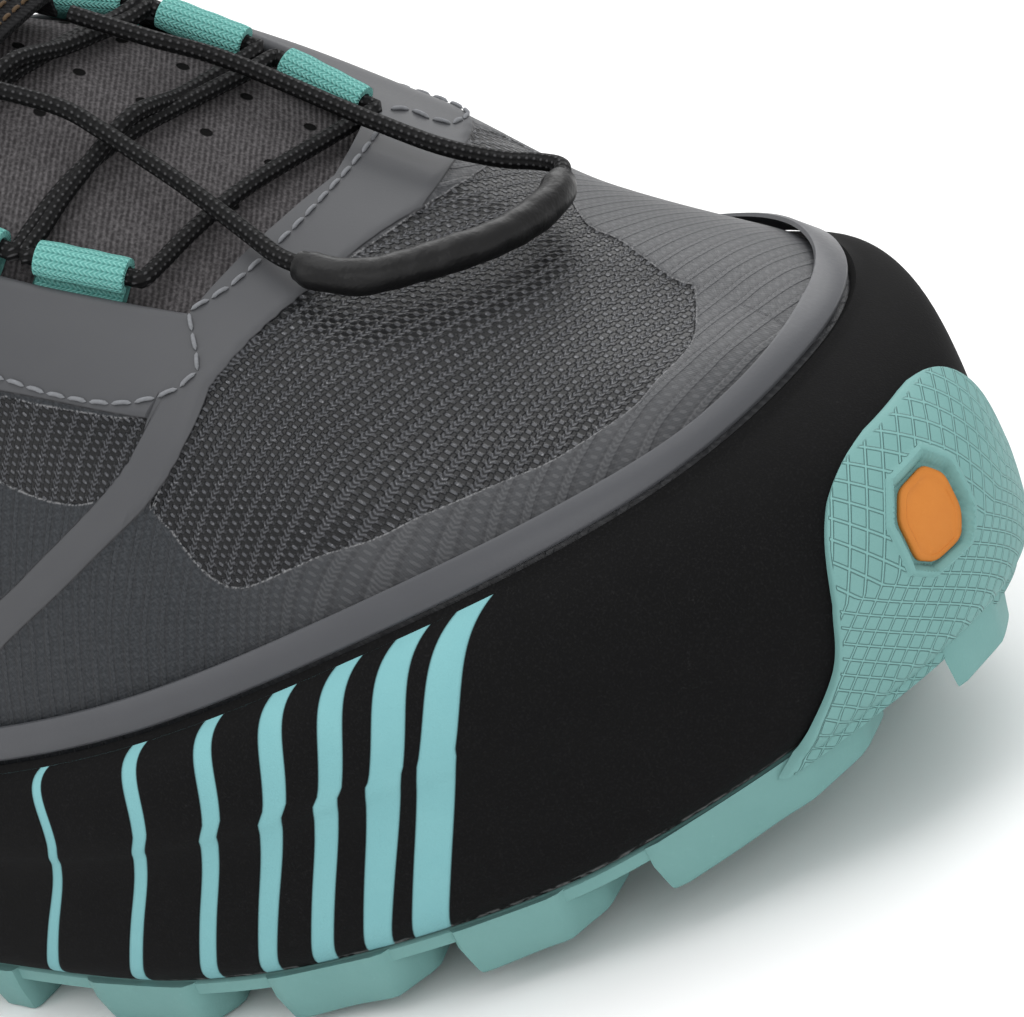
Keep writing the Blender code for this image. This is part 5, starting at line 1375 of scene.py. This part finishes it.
def make_pull_loop():
    """Strap in the shoe's middle plane: up the heel, over a half circle and down inside the collar."""
    v = np.array([0.76, 0.84, 0.92, 1.0])
    up = off_skin(1.0, 0.0, v, GAP + PULL / 2)[:, [0, 2]]
    turn = 0.35 * PULL_RISE
    crest = up[-1] + np.array([turn, PULL_RISE - turn])
    a = np.linspace(0, math.pi, 9)[:, None]
    bow = crest + turn * np.concatenate([-np.cos(a), np.sin(a)], 1)
    line = np.vstack([up, bow, [(bow[-1, 0], COLLAR_HEIGHT - PULL_TAIL)]])
    line = curve_through(np.stack([line[:, 0], 0 * line[:, 0], line[:, 1]], -1), 120)
    run = unit(np.gradient(line, axis=0))
    away = np.stack([-run[:, 2], 0 * run[:, 0], run[:, 0]], -1)
    a = np.linspace(0, TURN, 24, endpoint=False)
    wide = np.sign(np.cos(a)) * np.abs(np.cos(a)) ** 0.35 * PULL_WIDTH / 2
    thick = np.sign(np.sin(a)) * np.abs(np.sin(a)) ** 0.6 * PULL / 2
    grid = line[:, None] + away[:, None] * thick[None, :, None] + np.array([0, 1.0, 0]) * wide[None, :, None]
    uv = tube_uv(line, 24)
    uv[..., 1] = np.append(wide, wide[0]) / MM
    piece("heel_strap", grid, WEBBING, ("heel_pull_loop",), uv=uv, caps=True)


# Lacing.

def loop_axis(side, index):
    """Front and rear end of a webbing loop's tunnel beside the throat's edge, and the skin's normal there."""
    ts = np.linspace(0.46, CORNER, 241)
    sides = np.full_like(ts, side)
    vs = opening_v(sides, ts)
    vs = vs + v_step(sides, ts, vs, LOOP_R + SOFT_GAP)
    line = off_skin(sides, ts, vs, TONGUE_TOP + SOFT_GAP + LOOP_R)
    corner = skin(side, CORNER, opening_v(side, CORNER))[0]
    first = FIRST_LOOP if side < 0 else FIRST_LOOP_MEDIAL
    k = int(np.argmin(np.abs(line[:, 0] - (corner - first - index * LOOP_PITCH))))
    run = unit(line[min(k + 12, 240)] - line[k - 12])
    normal = skin_normal(sides, ts, vs)[k]
    return line[k] + run * LOOP_LENGTH / 2, line[k] - run * LOOP_LENGTH / 2, normal


def make_loop(side, index):
    """Folded tape: a tunnel round the lace whose two ends lie flat together under the film beside it."""
    front, rear, normal = loop_axis(side, index)
    run = unit(front - rear)
    out = unit(np.cross(run, normal)) * (1 if side > 0 else -1)
    out *= np.sign(out[1]) * side
    lift = unit(np.cross(run, out))
    lift *= np.sign(lift[2])
    bend = np.linspace(-48, 262, 30)
    ring = np.stack([np.cos(np.radians(bend)), np.sin(np.radians(bend))], -1)
    tab_top = np.array([(7.4, -1.95), (5.0, -1.85), (3.0, -1.80)]) * MM
    tab_low = np.array([(1.6, -2.45), (3.4, -2.60), (5.2, -2.70), (7.4, -2.85)]) * MM
    outer = np.vstack([tab_top, ring * LOOP_R * LOOP_FLAT, tab_low])
    middle = np.radians(np.concatenate([np.full(3, -52.0), bend, np.linspace(270, 300, 4)]))
    inner = np.stack([np.cos(middle), np.sin(middle)], -1) * (LOOP_R * LOOP_FLAT - LOOP_WALL)
    places = np.linspace(-1, 1, 23)
    swell = 1 + 0.05 * (1 - places ** 8) + 0.015 * np.sin(places * 9)
    half = LOOP_LENGTH / 2

    def wall(profile, grow):
        flat = profile[None] * grow[:, None, None]
        centre = (front + rear) / 2 + places[:, None, None] * half * run
        return centre + flat[..., :1] * out + flat[..., 1:] * lift

    grid = np.concatenate([wall(outer, swell), wall(inner, np.ones(23))[::-1]])
    lengths = distances(np.vstack([outer, outer[:1]])) / MM
    along = np.concatenate([places, places[::-1]]) * half / MM
    uv = np.stack(np.meshgrid(np.append(along, along[0]), lengths, indexing="ij"), -1)
    place = "%s_%d" % ("lateral" if side < 0 else "medial", index + 1)
    piece("tape_loop_" + place, grid, WEBBING, ("lace_loop_" + place,), (True, True), uv=uv)


def strand(start, end, lift):
    """Taut length of lace over the tongue, raised by a bell curve where another one passes under it."""
    c = np.linspace(0, 1, 13)
    flat = start + (end - start) * c[:, None]
    sag = TONGUE_TOP + SOFT_GAP + LACE / 2 + (LOOP_R - LACE / 2) * (2 * c - 1) ** 4
    line = over_skin(flat[:, 0], flat[:, 1], sag + lift * np.exp(-((c - 0.5) / 0.13) ** 2))
    return line[1:-1]


def lace_piece(name, line, nodes):
    grid = tube(line, LACE / 2, ROUND_SIDES)
    return piece(name, grid, BRAID, nodes, uv=tube_uv(line, ROUND_SIDES), caps=True)


def make_lace():
    """One lace through all eight loops, from the top loop of one side to the top loop of the other."""
    clear = LACE / 2 + SOFT_GAP
    ends = {}
    for side in (-1, 1):
        for k in range(LOOPS):
            front, rear, _ = loop_axis(side, k)
            run = unit(front - rear)
            ends[side, k] = [front + run * clear, front, rear, rear - run * clear]
    down = [ends[place][::-1] for place in ((1, 3), (-1, 2), (1, 1), (-1, 0))]
    back = [ends[place] for place in ((1, 0), (-1, 1), (1, 2), (-1, 3))]
    stops = down + back
    lifts = [LACE * 1.05] * 3 + [0.0] * 4
    route = stops[0][1:]
    for lift, here, there in zip(lifts, stops, stops[1:]):
        route += [*strand(here[-1], there[0], lift), *there]
    line = curve_through(route[:-1], 760)
    lace_piece("lace", line, ("lace_bar", "lace_cross_1", "lace_cross_2", "lace_cross_3"))


def make_tails():
    """The lace's two free ends, and the sleeve on the end that bends round in front."""
    sleeve = curve_through(SHEATH_ROUTE, 96)
    a = np.linspace(0, 1, 96)[:, None]
    turn = np.linspace(0, TURN, 24, endpoint=False)
    size = SHEATH / 2 * (1 - 0.16 * (1 - smooth(a / 0.05)) - 0.16 * (1 - smooth((1 - a) / 0.05)))
    size = size * (1 + 0.035 * np.sin(a * 41) * np.cos(turn * 2 + 3 * np.sin(a * 9)))
    grid = tube(sleeve, size, 24)
    sheath = piece("lace_sleeve", grid, SHEATH_RUBBER, ("lace_sheath",), caps=True)
    for word, route, count in (("lateral", TAIL_LATERAL, 90), ("medial", TAIL_MEDIAL, 120)):
        line = curve_through(route, count)
        end = lace_piece("lace_end_" + word, line, ("lace_tail_" + word,))


def make_keeper():
    """Cloth pocket on the tongue over the lace's ends, with a stitched front border."""
    back = KEEPER_FRONT - KEEPER_LENGTH / (LENGTH * 1.12)

    def sheet(distance):
        def at(s, c):
            t = back + (KEEPER_FRONT - back) * (s + 1) / 2
            side = side_of(c)
            half = v_step(side, t, 0.9, KEEPER_WIDTH * np.where(side < 0, 0.62, 0.38))
            rise = smooth(((s + 1) / 2 - 0.12) / 0.22) * (1 - 0.75 * smooth((np.abs(c) - 0.74) / 0.26))
            lift = TONGUE_TOP + GAP + distance + rise * (LACE + 3 * SOFT_GAP)
            return off_skin(side, t, 1 - half * np.abs(c), lift)
        return at

    grid = pillow(sheet(KEEPER), sheet(0.0), 60, 70, 14)
    piece("lace_pocket", grid, POCKET_CLOTH, ("lace_keeper",))
    c = np.linspace(-0.93, 0.93, 21)
    for level, name in ((0.91, "a"), (0.80, "b")):
        line = sheet(KEEPER + 0.0001)(np.full_like(c, level), c)
        stitch_row("pocket_stitch_" + name, line, 0.0021, 0.00025, BROWN_THREAD, 0.8)


# Stitches.

def stitch_row(name, line, pitch, radius, look, fill):
    """Row of thread stitches: small spindles of rings set end to end along a line, one mesh."""
    rings, sides = 7, 8
    along = distances(line)
    count = int(along[-1] / pitch)
    middle = (np.arange(count) + 0.5) * pitch
    start, end = (read_line(middle + e * pitch * fill / 2, along, line) for e in (-1, 1))
    s = np.linspace(0, 1, rings)[None, :, None]
    width = radius * np.sqrt(np.clip(1 - (2 * s - 1) ** 8, 0.04, 1))
    a = np.linspace(0, TURN, sides, endpoint=False)[:, None]
    run = unit(end - start)
    side = unit(np.cross(run, (0, 0, 1.0)))[:, None]
    lift = np.cross(side, run[:, None])
    centre = start[:, None] + (end - start)[:, None] * s + width * 0.6 * lift * np.sin(math.pi * s)
    points = centre[:, :, None] + width[..., None] * (np.cos(a) * side[:, None] + np.sin(a) * lift[:, None])
    quad = corners(rings, sides, False, True)
    index = quad[..., 0] * sides + quad[..., 1] % sides
    faces = []
    for first in range(0, count * rings * sides, rings * sides):
        faces += (index + first).tolist()
        faces += [list(range(k, k + sides)) for k in (first, first + (rings - 1) * sides)]
    mesh = bpy.data.meshes.new(name)
    mesh.from_pydata(points.reshape(-1, 3).tolist(), [], faces)
    finish_piece(name, mesh, look)


def make_stitches():
    for name, route in (("front", STITCH_FRONT), ("near", STITCH_NEAR), ("far", STITCH_FAR)):
        _, side, t, v = chart_curve(route, 16, False)
        line = off_skin(side, t, np.minimum(v, 0.9999), 0.00045)
        stitch_row("throat_stitch_" + name, line, 0.0028, 0.00026, THREAD, 0.86)


# Photograph's view, floor and light.

def make_camera():
    """Camera placed and turned as the photograph's: its right, up and back directions and its place."""
    right, up, back = (0.80118, 0.47119, -0.36891), (0.06879, 0.53987, 0.83893), (0.59446, -0.69751, 0.40012)
    place = (0.50951, -0.50101, 0.32400)
    view = bpy.data.cameras.new("photograph")
    view.sensor_width = 36.0
    view.lens = 217.26
    view.clip_start, view.clip_end = 0.05, 20.0
    item = new_object("photograph", view)
    item.matrix_world = Matrix([*zip(right, up, back, place), (0, 0, 0, 1)])
    bpy.context.scene.camera = item


def area(name, place, aim, size, power):
    light = bpy.data.lights.new(name, 'AREA')
    light.shape = 'RECTANGLE'
    light.size, light.size_y = size
    light.energy = power
    item = new_object(name, light)
    item.location = place
    item.rotation_euler = (Vector(aim) - Vector(place)).to_track_quat('-Z', 'Y').to_euler()


def make_room():
    mesh = bpy.data.meshes.new("floor")
    mesh.from_pydata([(-3, -3, 0), (3, -3, 0), (3, 3, 0), (-3, 3, 0)], [], [(0, 1, 2, 3)])
    mesh.materials.append(Look("paper", (0.88, 0.88, 0.88), 0.9).material)
    new_object("floor", mesh)
    world = bpy.data.worlds.new("studio")
    bpy.context.scene.world = world
    world.use_nodes = True
    sky = world.node_tree.nodes["Background"]
    sky.inputs["Color"].default_value = (1, 1, 1, 1)
    sky.inputs["Strength"].default_value = 0.90
    bpy.context.scene.view_settings.view_transform = 'Standard'
    area("overhead", (0.10, 0.10, 1.30), (0.03, 0, 0.03), (1.2, 1.2), 9)
    area("front", (1.00, -0.75, 0.55), (0.05, 0, 0.05), (0.9, 0.7), 4)
    area("left", (-0.70, -0.90, 0.80), (0.0, 0, 0.05), (0.9, 0.9), 3)
    area("behind", (-0.1, 1.1, 0.75), (0.05, 0, 0.06), (1.0, 0.6), 6)


make_camera()
make_room()
make_tails()
make_upper()
make_strip()
make_counter()
make_tongue()
make_midsole()
make_plate()
make_lugs()
make_bumper()
make_inset()
make_insole()
make_pull_loop()
for which in (-1, 1):
    for number in range(LOOPS):
        make_loop(which, number)
make_lace()
make_keeper()
make_stitches()
